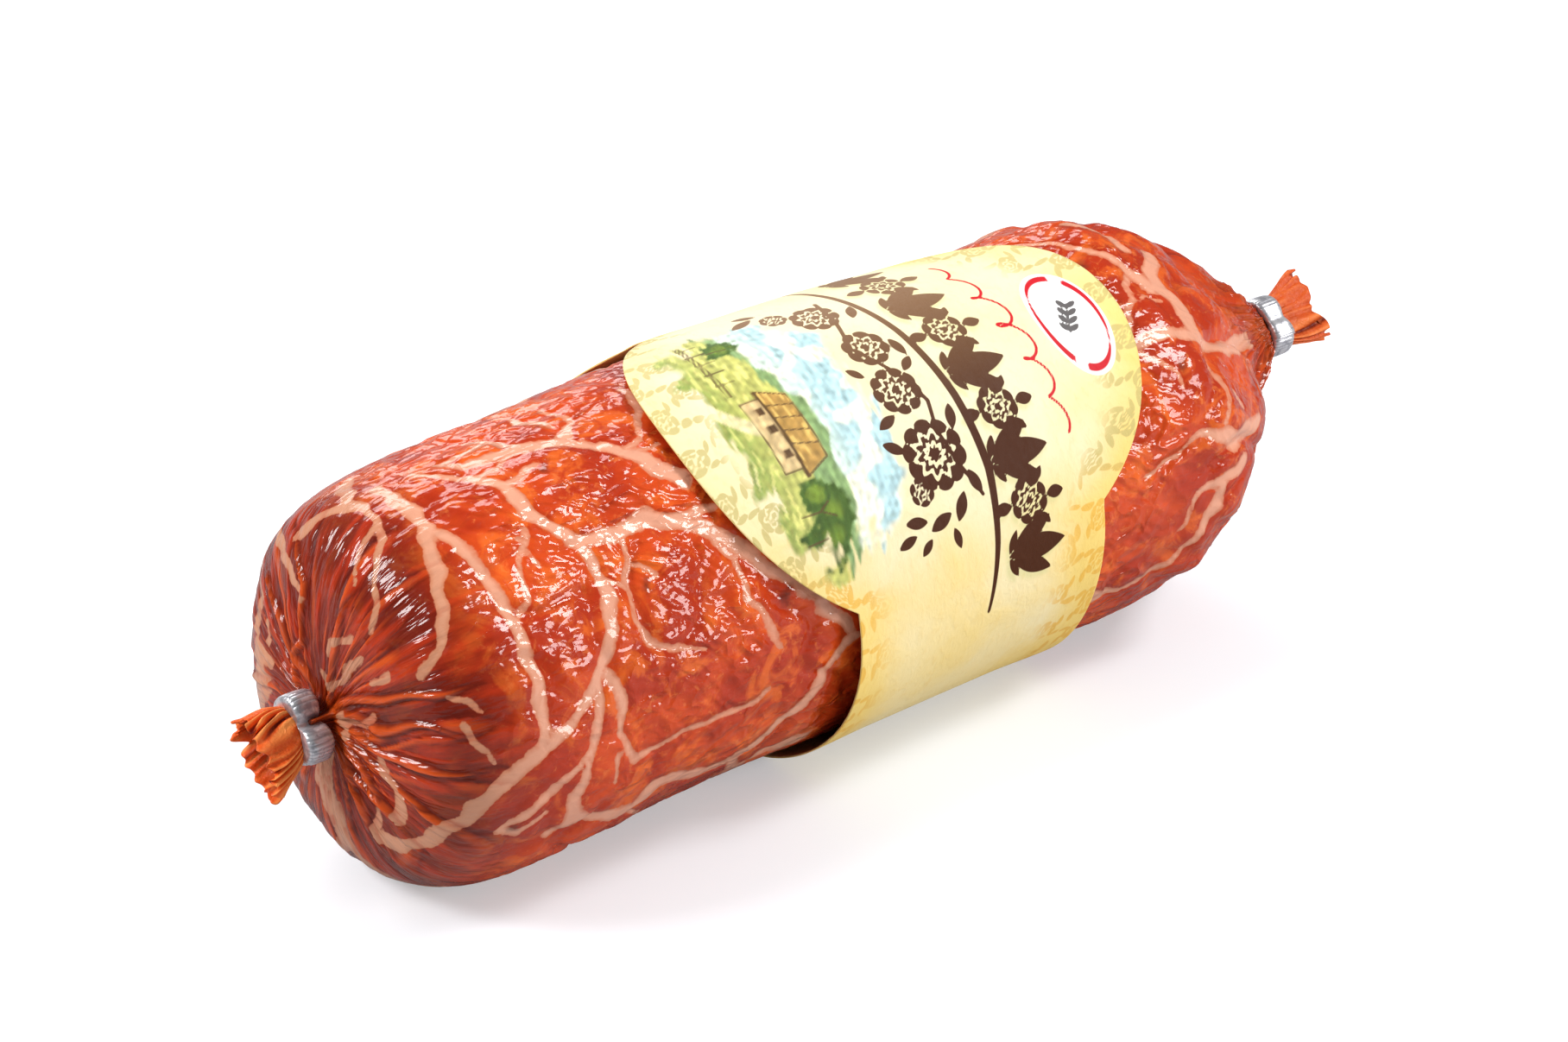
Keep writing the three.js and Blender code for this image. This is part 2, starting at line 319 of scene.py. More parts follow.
@dataclass(frozen=True)
class Form:
    """Sizes of the body, its necks and its label, in mm, as the CAD model has them."""

    length: float = 228.2
    radius: float = 40.4
    far_swell: float = 0.5
    dent_depth: float = 1.1
    rest_depth: float = 1.2
    waist: tuple[float, float, float] = (1.0, 46.0, 22.0)  # depth, X, spread
    near_dome: tuple[float, float, float] = (80.0, 8.6, 0.36)  # length, flatness, roundness
    far_dome: tuple[float, float, float] = (43.0, 1.47, 0.67)
    near_rise: float = 2.2
    near_bend: tuple[float, float, float] = (-4.2, -1.0, 1.0)  # Y, Z, power
    far_bend: tuple[float, float, float] = (-7.0, 7.9, 5.0)
    neck_width: float = 8.4
    neck_depth: float = 5.0
    near_roll: float = math.radians(48.0)
    far_roll: float = math.radians(42.0)
    clip_length: float = 4.6
    clearance: float = 0.3
    strap: float = 1.9  # thickness of a clip's strap
    strap_lobe: tuple[float, float, float] = (0.7, 0.8, 0.45)  # height, turn from the notch, spread
    strap_notch: tuple[float, float] = (1.0, 0.22)  # depth, spread
    paper: float = 0.6
    strip_width: float = 62.4
    strip_x: float = 11.4
    panel_width: float = 106.6
    panel_reach: float = 48.0
    panel_x: float = 9.3
    panel_turns: tuple[float, float] = (math.radians(64.0), math.radians(190.0))
    slack: float = 3.2
    slack_end: float = 34.0

    @property
    def half(self) -> float:
        """Half the length from neck to neck."""
        return self.length / 2.0

    @property
    def clip_x(self) -> float:
        """Distance of a clip's middle from the middle of the body."""
        return self.half + self.clearance + self.clip_length / 2.0

    def roll(self, end: End) -> float:
        """How far the wide axis of one end's neck lies below the level of the front."""
        return self.near_roll if end is End.NEAR else self.far_roll

    def shares(self, x: Array) -> tuple[Array, Array]:
        """How far along the near dome and the far dome a place is, from 0 at the neck to 1."""
        near = np.clip((x + self.half) / self.near_dome[0], 0.0, 1.0)
        return near, np.clip((self.half - x) / self.far_dome[0], 0.0, 1.0)

    def full_radius(self, x: Array) -> Array:
        """Radius with both ends left full: a slow swell, less a bell-shaped waist at the tight label."""
        depth, middle, spread = self.waist
        return self.radius + self.far_swell * (x / self.length + 0.5) - depth * bell(x - middle, spread)

    def body_radius(self, x: Array) -> Array:
        """Full radius times, at each end, (1 - (1 - share)^flatness)^roundness."""
        near, far = self.shares(x)
        draw_near = (1.0 - (1.0 - near) ** self.near_dome[1]) ** self.near_dome[2]
        draw_far = (1.0 - (1.0 - far) ** self.far_dome[1]) ** self.far_dome[2]
        return self.full_radius(x) * draw_near * draw_far

    def middle(self, x: Array) -> tuple[Array, Array]:
        """Y and Z of the middle line, which bends to each neck by (1 - share)^power."""
        near, far = self.shares(x)
        bend_near = (1.0 - near) ** self.near_bend[2]
        bend_far = (1.0 - far) ** self.far_bend[2]
        y = bend_near * self.near_bend[0] + bend_far * self.far_bend[0]
        rest = self.full_radius(x) - self.rest_depth
        return y, rest + bend_near * self.near_bend[1] + bend_far * self.far_bend[1]

    def dent(self, x: Array, turn: Array) -> Array:
        """Depth of the dents between the lumps: three crossed sine waves, shallow where the body narrows."""
        long = np.sin(2 * turn + x / 17) * np.cos(x / 23 + 1.3)
        middling = np.sin(3 * turn - x / 11 + 0.7)
        short = np.sin(5 * turn + x / 7.3) * np.cos(x / 9)
        mixed = 0.5 + 0.22 * long + 0.16 * middling + 0.12 * short
        return self.dent_depth * mixed * (self.body_radius(x) / self.full_radius(x)) ** 2

    def label_edges(self, turn: Array) -> tuple[Array, Array]:
        """X of the label's two edges: the strip's, pushed out to an ellipse where a panel is wider."""
        left = np.full_like(turn, self.strip_x - self.strip_width / 2.0)
        right = np.full_like(turn, self.strip_x + self.strip_width / 2.0)
        for centre in self.panel_turns:
            around = self.radius * np.abs(turn_between(turn, centre)) / self.panel_reach
            half = self.panel_width / 2.0 * np.sqrt(np.clip(1.0 - around**2, 0.0, 1.0))
            left = np.minimum(left, self.panel_x - half)
            right = np.maximum(right, self.panel_x + half)
        return left, right

    def stand_off(self, x: Array, turn: Array) -> Array:
        """Gap under the label: most at the near edge, in two loose spots, each a bell round the body."""
        nearness = 1.0 - ease(x, self.panel_x - self.panel_width / 2.0, self.slack_end)
        low_front = bell(turn_between(turn, math.radians(-14.0)), 0.55)
        high_back = 0.3 * bell(turn_between(turn, math.radians(142.0)), 0.45)
        return self.clearance + self.slack * nearness * (low_front + high_back)

    def neck_oval(self, turn: Array, roll: float) -> Array:
        """Radius of the neck's oval at a turn, as a share of its mean radius."""
        wide, deep = self.neck_width / 2.0, self.neck_depth / 2.0
        oval = 1.0 / np.hypot(np.cos(turn + roll) / wide, np.sin(turn + roll) / deep)
        return oval / self.neck_radius

    @property
    def neck_radius(self) -> float:
        """Mean radius of a neck."""
        return math.sqrt(self.neck_width * self.neck_depth) / 2.0


@dataclass
class Outline:
    """Section of the body from neck to neck, read by the walk along it."""

    form: Form
    middle_walk: float = 141.6  # the walk at the middle of the body
    finest_share: float = 0.0006  # of the near dome, where the casing leaves its neck
    taper_share: float = 0.045  # of the far dome

    def __post_init__(self) -> None:
        """Traces the section: a quarter ellipse up to each dome, and the domes with the body between."""
        form, half, neck = self.form, self.form.half, self.form.neck_radius
        share = np.geomspace(self.finest_share, 1.0, 240)
        plain = share * form.near_dome[0] - half
        near_x, near_r = plain + form.near_rise * np.exp(-12.0 * share), form.body_radius(plain)
        quarter = np.linspace(0.0, math.pi / 2.0, 24)[:-1]
        funnel_x = -half + (near_x[0] + half) * np.sin(quarter)
        funnel_r = neck + (near_r[0] - neck) * (1.0 - np.cos(quarter))
        body_x = np.linspace(near_x[-1], half - form.far_dome[0], 240)[1:-1]
        far_x = half - np.geomspace(1.0, self.taper_share, 160) * form.far_dome[0]
        far_r = form.body_radius(far_x)
        tail_x = far_x[-1] + (half - far_x[-1]) * np.sin(quarter[1:])
        tail_r = neck + (far_r[-1] - neck) * np.cos(quarter[1:])
        self.x = np.concatenate([funnel_x, near_x, body_x, far_x, tail_x])
        self.r = np.concatenate([funnel_r, near_r, form.body_radius(body_x), far_r, tail_r])
        steps = np.hypot(np.diff(self.x), np.diff(self.r))
        self.walk = np.concatenate([[0.0], np.cumsum(steps)])
        self.walk += self.middle_walk - np.interp(0.0, self.x, self.walk)

    def read(self, walk: Array) -> tuple[Array, Array]:
        """X and radius at a walk."""
        return np.interp(walk, self.walk, self.x), np.interp(walk, self.walk, self.r)


# ---------------------------------------------------------------------------------------------------
# Materials
# ---------------------------------------------------------------------------------------------------


class Graph:
    """Nodes of one material, added and joined by short calls. A value is a number, a colour or a socket."""

    def __init__(self, name: str) -> None:
        """Starts a material with one shader joined to its output."""
        self.material = bpy.data.materials.new(name)
        self.material.use_nodes = True
        self.tree = self.material.node_tree
        self.tree.nodes.clear()
        self.shader = self.node("ShaderNodeBsdfPrincipled")
        output = self.node("ShaderNodeOutputMaterial")
        self.tree.links.new(self.shader.outputs["BSDF"], output.inputs["Surface"])
        self.place = self.node("ShaderNodeTexCoord").outputs["Object"]

    def node(self, kind: str, inputs: dict[Any, Any] | None = None, **settings: Any) -> bpy.types.Node:
        """Adds a node.

        Args:
            kind: Blender's name for it.
            inputs: its sockets, by name or number, and what each one takes.
            settings: its own options.

        Returns:
            The node.
        """
        made = self.tree.nodes.new(kind)
        for option, value in settings.items():
            setattr(made, option, value)
        for socket, value in (inputs or {}).items():
            if isinstance(value, bpy.types.NodeSocket):
                self.tree.links.new(value, made.inputs[socket])
            else:
                made.inputs[socket].default_value = value
        return made

    def read(self, name: str, kind: str = "Fac") -> bpy.types.NodeSocket:
        """Number (Fac), Color or Vector that the mesh stores under a name."""
        return self.node("ShaderNodeAttribute", attribute_name=name).outputs[kind]

    def noise(
        self, scale: float, detail: float = 3.0, rough: float = 0.55, warp: float = 0.0, where: Any = None
    ) -> bpy.types.NodeSocket:
        """Cloud noise from about 0.3 to 0.7.

        Args:
            scale: features per metre.
            detail: number of finer layers.
            rough: strength of the finer layers.
            warp: how much the noise bends itself.
            where: coordinates, the object's own when left out.

        Returns:
            The noise's value.
        """
        inputs = {"Vector": where or self.place, "Scale": scale, "Detail": detail}
        inputs |= {"Roughness": rough, "Distortion": warp}
        return self.node("ShaderNodeTexNoise", inputs).outputs["Fac"]

    def bands(self, scale: float, bend: float) -> bpy.types.NodeSocket:
        """Fine parallel wrinkles, 0.36 / scale metres apart, bent so far that they run every way."""
        inputs = {"Vector": self.place, "Scale": scale, "Distortion": bend, "Detail": 1.5}
        inputs["Detail Scale"] = 0.9
        return self.node("ShaderNodeTexWave", inputs, bands_direction="DIAGONAL").outputs["Fac"]

    def stretched(self, stretch: tuple[float, float, float]) -> bpy.types.NodeSocket:
        """Object coordinates, each axis multiplied by its own number."""
        return self.node("ShaderNodeMapping", {"Vector": self.place, "Scale": stretch}).outputs["Vector"]

    def step(self, value: Any, start: float, stop: float) -> bpy.types.NodeSocket:
        """Smooth step from 0 at start to 1 at stop; start may be the larger one."""
        low, high, to_low, to_high = (start, stop, 0.0, 1.0) if start < stop else (stop, start, 1.0, 0.0)
        inputs = {"Value": value, "From Min": low, "From Max": high, "To Min": to_low, "To Max": to_high}
        made = self.node("ShaderNodeMapRange", inputs, interpolation_type="SMOOTHSTEP")
        return made.outputs["Result"]

    def math(self, operation: str, first: Any, second: Any = 0.0) -> bpy.types.NodeSocket:
        """One operation on two values."""
        return self.node("ShaderNodeMath", {0: first, 1: second}, operation=operation).outputs["Value"]

    def times(self, first: Any, second: Any) -> bpy.types.NodeSocket:
        """Product of two values."""
        return self.math("MULTIPLY", first, second)

    def blend(self, value: Any, start: float, share: float) -> bpy.types.NodeSocket:
        """A share of a value, on top of a start."""
        return self.math("ADD", self.times(value, share), start)

    def mix(self, share: Any, first: Any, second: Any, blend: str = "MIX") -> bpy.types.NodeSocket:
        """Two colours mixed: the first where the share is 0, the second where it is 1."""
        inputs = {0: share, 6: first, 7: second}
        return self.node("ShaderNodeMix", inputs, data_type="RGBA", blend_type=blend).outputs[2]

    def ridged(self, cloud: Any) -> bpy.types.NodeSocket:
        """Sharp ridges between round hollows: 0.5 less the cloud's distance from its middle value."""
        return self.math("SUBTRACT", 0.5, self.math("ABSOLUTE", self.blend(cloud, -0.5, 1.0)))

    def bump(self, height: Any, depth: float, under: Any = None) -> bpy.types.NodeSocket:
        """Surface relief.

        Args:
            height: its height, from 0 to 1.
            depth: the height of 1, in metres.
            under: relief that it lies on.

        Returns:
            The new normal.
        """
        inputs = {"Height": height, "Distance": depth, "Strength": 1.0}
        if under is not None:
            inputs["Normal"] = under
        return self.node("ShaderNodeBump", inputs).outputs["Normal"]

    def dress(self, **sockets: Any) -> bpy.types.Material:
        """Sets the shader's sockets, named with _ for a space, and gives back the finished material."""
        for name, value in sockets.items():
            socket = self.shader.inputs[name.replace("_", " ")]
            if isinstance(value, bpy.types.NodeSocket):
                self.tree.links.new(value, socket)
            else:
                socket.default_value = value
        return self.material


@dataclass(frozen=True)
class CasingFinish:
    """Glossy printed film over cured meat, with a net of pale veins."""

    deep: tuple = rgb(170, 46, 14)
    brick: tuple = rgb(200, 68, 20)
    orange: tuple = rgb(228, 106, 36)
    fleck: tuple = rgb(240, 140, 70)
    vein: tuple = rgb(216, 152, 124)
    vein_edge: tuple = rgb(200, 118, 86)
    film: tuple = rgb(94, 17, 4)
    rib: tuple = rgb(164, 42, 12)
    # Orange of the crests: partly the bunched film's stronger orange, partly a painted highlight.
    crest_tint_and_highlight: tuple = rgb(214, 84, 24)
    dim_vein: tuple = rgb(178, 124, 92)
    # Painted shade: near-black red laid in the creases of the gathered film and beside its folds.
    crease_shade: tuple = rgb(74, 10, 2)
    pepper: tuple = rgb(66, 36, 26)

    def material(self) -> bpy.types.Material:
        """Meat in clouds of red, with painted shade in the valleys and creases and orange crests that carry a
        painted highlight; veins with ragged edges; crinkled clear film.
        """
        g = Graph("cured casing")
        cap, crease_shade, vein_gap = g.read("cap"), g.read("crease_shade"), g.read("vein")
        fine = g.noise(420.0, 4.0, 0.65, 0.8)
        patches = g.step(g.noise(120.0, 4.0, 0.6, 0.9), 0.5, 0.66)
        meat = g.mix(g.step(g.noise(60.0, 3.0, 0.5, 0.4), 0.42, 0.6), self.deep, self.brick)
        meat = g.mix(g.times(patches, 0.65), meat, self.orange)
        meat = g.mix(g.times(g.step(fine, 0.56, 0.7), 0.3), meat, self.fleck)
        # Painted shade: the meat turns deep red in the valleys between the lumps.
        meat = g.mix(g.times(g.step(g.read("valley"), 0.2, 1.0), 0.4), meat, self.deep)
        streaks = g.noise(11.0, 3.0, 0.5, 0.2, g.read("ring", "Vector"))
        gathered = g.mix(g.step(streaks, 0.44, 0.66), self.film, self.rib)
        meat = g.mix(g.times(cap, 0.85), meat, gathered)
        # Crests of the pleats: the bunched film's orange with a painted highlight.
        meat = g.mix(g.times(g.read("pleat"), 0.7), meat, self.crest_tint_and_highlight)
        # Painted shade: the creases darken towards near-black red.
        meat = g.mix(g.times(crease_shade, 0.8), meat, self.crease_shade)
        ragged = g.blend(g.noise(700.0, 2.0, 0.5), -0.45, 0.9)
        edge = g.math("ADD", vein_gap, ragged)
        vein = g.mix(g.step(edge, -0.9, 0.1), self.vein, self.vein_edge)
        vein = g.mix(g.times(cap, 0.7), vein, self.dim_vein)
        # Painted shade: a vein that crosses a crease takes the darker rib tone.
        vein = g.mix(g.times(crease_shade, 0.5), vein, self.rib)
        skin = g.mix(g.step(edge, 0.22, -0.12), meat, vein)
        smudge = g.step(g.math("ADD", g.read("pepper"), g.times(ragged, 2.0)), 0.6, -1.6)
        skin = g.mix(g.times(smudge, 0.8), skin, self.pepper)
        off_cap, off_vein = g.blend(cap, 1.0, -0.85), g.blend(g.step(vein_gap, 1.4, -0.6), 1.0, -0.5)
        slack = g.blend(g.step(g.noise(32.0, 1.0), 0.38, 0.58), 0.4, 0.6)
        loose = g.times(off_cap, g.times(off_vein, slack))
        wrinkle = g.ridged(g.noise(270.0, 1.0, 0.4, 0.5, g.stretched((0.5, 1.0, 0.8))))
        relief = None
        for height, share, depth in (
            (wrinkle, loose, 0.0021),
            (g.bands(170.0, 8.0), loose, 0.0001),
            (g.noise(520.0, 1.0, 0.5, 1.0), off_cap, 0.0001),
            (streaks, cap, 0.0014),
        ):
            relief = g.bump(g.times(height, share), depth, relief)
        return g.dress(
            Base_Color=skin,
            Roughness=g.blend(fine, 0.17, 0.485),
            Normal=relief,
            Coat_Normal=relief,
            Coat_Weight=0.75,
            Coat_Roughness=0.1,
            Specular_IOR_Level=0.05,
        )


@dataclass(frozen=True)
class TailFinish:
    """Bare orange film, gathered and cut."""

    film: tuple = rgb(226, 86, 22)
    # Lighter film: a painted highlight on the crests of the folds, and random lighter patches.
    light: tuple = rgb(250, 150, 76)
    # Painted shade in the folds and inside the mouth.
    fold_and_mouth_shade: tuple = rgb(126, 24, 4)

    def material(self) -> bpy.types.Material:
        """Orange, with painted shade in the folds and inside the mouth, and a painted highlight on the
        crests.
        """
        g = Graph("cut film")
        cloud, fold = g.noise(500.0, 3.0, 0.6, 0.5), g.read("fold")
        # Painted highlight: lighter on the crests of the folds.
        skin = g.mix(g.step(fold, 0.45, 1.0), self.film, self.light)
        # Painted shade: darker in the folds.
        skin = g.mix(g.step(fold, 0.35, -0.1), skin, self.fold_and_mouth_shade)
        skin = g.mix(g.times(g.step(cloud, 0.45, 0.7), 0.3), skin, self.light)
        # Painted shade inside the mouth.
        skin = g.mix(g.read("inside"), skin, self.fold_and_mouth_shade)
        relief = g.bump(g.noise(900.0, 3.0, 0.6, 1.0), 0.0003)
        return g.dress(
            Base_Color=skin,
            Roughness=g.blend(cloud, 0.35, 0.3),
            Normal=relief,
            Coat_Normal=relief,
            Coat_Weight=0.12,
            Coat_Roughness=0.2,
            Specular_IOR_Level=0.2,
        )


@dataclass(frozen=True)
class ClipFinish:
    """Soft pressed aluminium."""

    metal: tuple = rgb(232, 232, 236)
    dull: tuple = rgb(168, 168, 176)

    def material(self) -> bpy.types.Material:
        """Bright metal, duller in its grooves, with fine drawn lines round the strap."""
        g = Graph("pressed aluminium")
        cloud = g.noise(450.0, 4.0, 0.6, 0.4)
        skin = g.mix(g.step(cloud, 0.42, 0.66), self.metal, self.dull)
        skin = g.mix(g.times(g.read("groove"), 0.7), skin, self.dull)
        relief = g.bump(g.noise(900.0, 2.0, 0.5, 0.0, g.stretched((6.0, 0.5, 0.5))), 0.00003)
        relief = g.bump(g.noise(600.0, 2.0, 0.5), 0.00012, relief)
        return g.dress(Base_Color=skin, Roughness=g.blend(cloud, 0.18, 0.3), Normal=relief, Metallic=0.75)


@dataclass(frozen=True)
class PaperFinish:
    """Printed label paper, half matt."""

    cream: tuple = rgb(236, 224, 186)
    yellow: tuple = rgb(236, 204, 116)
    olive: tuple = rgb(184, 170, 104)
    gold: tuple = rgb(226, 172, 64)
    ink: tuple = rgb(72, 34, 10)
    # Ink as it shows towards the top of the label: partly a printed fade, partly painted glare.
    faded_ink_and_glare: tuple = rgb(140, 108, 80)
    shadow: tuple = rgb(206, 200, 140)
    sketch: tuple = rgb(92, 70, 44)
    red: tuple = rgb(196, 28, 40)
    white: tuple = rgb(250, 250, 248)
    grey: tuple = rgb(96, 92, 92)
    inside: tuple = rgb(206, 178, 122)

    def material(self) -> bpy.types.Material:
        """Cream paper, yellower at its edges, under the printed layers in the order that they are laid."""
        g = Graph("printed paper")
        mottle = g.noise(60.0, 5.0, 0.6, 0.4)
        fibre = g.noise(700.0, 4.0, 0.6, 0.6, g.stretched((1.0, 0.6, 0.6)))
        warm = g.math("ADD", g.read("warmth"), g.blend(mottle, -0.35, 0.7))
        skin = g.mix(g.step(warm, 0.0, 1.0), self.cream, self.yellow)
        tone = g.mix(g.step(g.read("low"), 0.3, 0.7), self.olive, self.gold)
        skin = g.mix(g.times(g.step(g.read("damask"), 0.12, -0.12), g.read("damask_share")), skin, tone)
        skin = g.mix(g.read("painted"), skin, g.read("painting", "Color"))
        skin = g.mix(g.times(g.step(g.read("sketch"), 0.14, -0.1), 0.75), skin, self.sketch)
        skin = g.mix(g.times(g.step(g.read("shadow"), 0.9, -0.7), 0.6), skin, self.shadow)
        # Ink paler towards the top: partly a printed fade, partly painted glare.
        ink = g.mix(g.read("print_fade_and_glare"), self.ink, self.faded_ink_and_glare)
        for layer, colour in (("ink", ink), ("badge", self.white), ("sprig", self.grey), ("red", self.red)):
            skin = g.mix(g.step(g.read(layer), 0.1, -0.1), skin, colour)
        skin = g.mix(g.read("underside"), skin, self.inside)
        skin = g.mix(g.times(g.step(fibre, 0.5, 0.7), 0.12), skin, self.yellow, "MULTIPLY")
        relief = g.bump(mottle, 0.0006, g.bump(fibre, 0.00016))
        rough = g.blend(fibre, 0.42, 0.25)
        return g.dress(Base_Color=skin, Roughness=rough, Normal=relief, Specular_IOR_Level=0.15)


# ---------------------------------------------------------------------------------------------------
# Casing
# ---------------------------------------------------------------------------------------------------

# Pale veins of the body, each a list of (walk, turn in degrees, width).
BODY_VEINS: tuple[Route, ...] = (
    ((47.7, 100, 3.2), (47.5, 90, 3.2), (47.5, 76, 3.3), (44.3, 67, 2.8), (42.3, 57, 2.8), (40, 47, 2.4),
     (36.5, 42, 1.8), (31.3, 36, 1.2)),
    ((48, 72, 2.4), (51, 62, 2.4), (51, 44, 2.6), (51.8, 27, 3), (51.8, 10, 2.8), (50.7, 5, 2.6)),
    ((71.3, 40, 3), (70, 27, 3), (66, 19, 3), (59.3, 10.5, 2.3), (52, 5.3, 2.5), (46, 1.6, 2.8),
     (42, -3, 3.5), (34.7, -15.8, 3), (32, -24, 2.8), (30.7, -30.5, 3)),
    ((54, 96, 1.3), (57.3, 87, 1.8), (61.3, 81, 2.2), (64.7, 75, 2.8), (64.7, 64, 3.2), (70.7, 50.5, 3),
     (71.7, 42, 2.8)),
    ((64.7, 75, 1.8), (70, 77, 1.5), (72.7, 78, 1)),
    ((69.3, 52.6, 3), (74, 50.5, 3), (85.3, 50.5, 3.5), (90, 47.4, 3.3), (99.3, 39, 3), (102.7, 31.6, 2.8),
     (112, 17, 2.6), (117.3, 9.5, 2.6), (122, 1, 2.8)),
    ((88, 48.5, 2), (99.3, 46.3, 2)),
    ((58.7, 94.7, 1.5), (62, 89.5, 1.8), (71.3, 86, 2.5), (76.7, 84.7, 3.5), (81.3, 82, 4), (85.3, 77, 2.5),
     (89.3, 71.6, 3), (94, 61, 4), (96.7, 56, 4)),
    ((62, 81, 1.2), (71, 85, 1.5)),
    ((58.7, 94.5, 1.2), (63.3, 94, 1.5), (69.3, 94.7, 1.5)),
    ((67.3, 100, 1.3), (71.3, 92.6, 2), (74, 86, 2.2)),
    ((83.3, 85, 3), (87.3, 89.5, 1.5), (86, 101, 1)),
    ((92, 69, 1.5), (97.3, 68, 1)),
    ((80, 101, 2.5), (82.7, 93.7, 2), (83.3, 90, 1.2)),
    ((102, 94.7, 2.2), (100.7, 85, 1.8), (94.7, 72.6, 1.2), (91.3, 71, 1.5)),
    ((62, 61, 1.5), (56.7, 49.5, 1.4), (54.7, 42, 1.1), (52, 39.5, 1)),
    ((60, 60, 1), (61.3, 49.5, 0.9)),
    ((79.3, 47.4, 1.6), (76, 34.7, 1.5), (75.3, 27.4, 1.4), (76.7, 21, 1.4), (80.7, 16.8, 1.2),
     (88, 12.6, 0.9)),
    ((72.7, 40, 1.2), (76, 34.7, 1.2)),
    ((80, 42, 1.2), (82.7, 36, 1)),
    ((96.7, 40, 1.5), (100, 31.6, 1.3), (100, 21, 1.3), (104, 9.5, 1.1), (105.7, 4, 0.9)),
    ((65.3, 18, 2), (64, 10.5, 2.2), (61.3, -3, 1.8), (58.3, -17, 3), (58.7, -24, 3.5), (55.3, -31.6, 2)),
    ((61.3, -1, 1.8), (55.3, -7.4, 1.9), (43.3, -20, 2), (46.7, -23, 1.8), (52, -18, 1.6)),
    ((67.7, 17, 2.2), (68.7, 6, 2), (68, 0, 1.5), (71.3, -10.5, 1.6), (82, -9, 1.3), (92, -9, 1.2),
     (100.7, -10, 1.4), (104, -8, 0.9)),
    ((67.5, -6, 1.2), (67, -16, 0.9)),
    ((58.7, -24, 3), (70, -31.6, 3.3), (75.3, -31.6, 2.8), (78, -26.3, 3.2), (82, -26.3, 3.5),
     (92, -32.6, 3.5), (102, -31.6, 3), (112, -19, 2.6), (120, -4, 2.2), (123.3, -1, 3)),
    ((74, -31, 1.5), (76.7, -38, 1.4), (80, -45, 1.2)),
    ((98.7, -33.7, 3), (103.3, -44, 3), (110, -58, 2)),
)

# Veins that run over the near cap to its neck.
CAP_VEINS: tuple[Route, ...] = (
    ((22.4, 109, 1.2), (27.9, 120, 2), (35, 132, 2.6), (38.3, 137, 2.5)),
    ((34, 117, 3), (37.3, 110.5, 2.2), (41.3, 101, 3), (42.5, 94.7, 2), (41.5, 86, 1.6), (35.3, 73.7, 1.3),
     (27, 59, 0.9)),
    ((41.3, 86, 1), (36, 84, 1), (30, 78.5, 0.9)),
    ((41.3, 102, 2.8), (44.7, 109.5, 3), (48, 116, 3)),
    ((18.7, 170, 3.5), (25.3, 172.7, 2.5)),
    ((20.3, 159, 1.5), (22.4, 151.5, 1.2)),
    ((9, 89, 1.6), (9.5, 69, 1.8), (12.8, 59, 0.8), (16, 57, 1.7), (20.8, 57, 1.3)),
    ((15.3, 82, 1.8), (17.8, 75.6, 1.5), (22, 68, 0.9)),
    ((21, 41.5, 1.2), (25, 43, 1.5)),
    ((8, 28, 2.2), (9, 17, 2.6), (8.3, 5, 2.2)),
    ((9, 20, 2), (12.8, 21, 1.6), (17.8, 25.6, 0.8)),
    ((16.6, -2, 1.2), (18.7, -10, 1.6), (23.3, -21.5, 2.2), (23.9, -31, 2.2)),
    ((19.5, -36, 1), (23.3, -55, 2.5), (25.3, -48.5, 3.5), (30.3, -31, 2.8), (32.8, -20, 2.8),
     (37.4, -12, 2.5), (43.7, 0, 3)),
    ((36.2, 28.5, 0.9), (39.9, 21, 0.9)),
    ((36.6, 19, 0.9), (41.2, 5.4, 1)),
)

# Veins between the label and the far neck.
FAR_VEINS: tuple[Route, ...] = (
    ((196, 104, 1.2), (204.4, 93, 1.5), (208.8, 81.7, 1.8), (213.8, 70.6, 2.2), (217.5, 62.8, 3)),
    ((204.4, 51.7, 1.2), (210.6, 65, 1.6), (213.8, 69.4, 1.8)),
    ((196, 46, 2.4), (207.5, 48, 2.5), (218.8, 45, 3), (226.9, 38.3, 3), (240, 37, 4), (252, 37, 4.5)),
    ((202.5, 46, 1), (209.4, 36, 1), (209.4, 31, 0.9)),
    ((221.3, 44, 5), (220.6, 62, 5), (220, 68, 4.5), (223, 75, 3.5)),
    ((217.5, 78, 2.5), (215, 90.6, 2.8), (213, 97, 2.5)),
    ((210.6, 59.4, 1), (215, 60.6, 1), (216.3, 57, 1)),
    ((219, 36, 1), (221.6, 22.8, 1.4), (218, 17, 1.5)),
    ((225, 24, 1.4), (226.3, 18, 1.5)),
    ((197, 11, 1), (206.9, 15, 1.5), (211.3, 17, 1.5), (217.5, 14, 3), (222.5, 9.4, 4.5), (233.8, 9.4, 3)),
    ((206.9, -12.8, 1), (210.6, -1, 2), (221.3, -0.6, 3.5), (225, 1.7, 3)),
    ((218.8, -2.8, 3), (213.8, -14, 2.5), (206.3, -24.4, 1.5), (193.8, -26.7, 1.5), (184.4, -25, 4)),
)

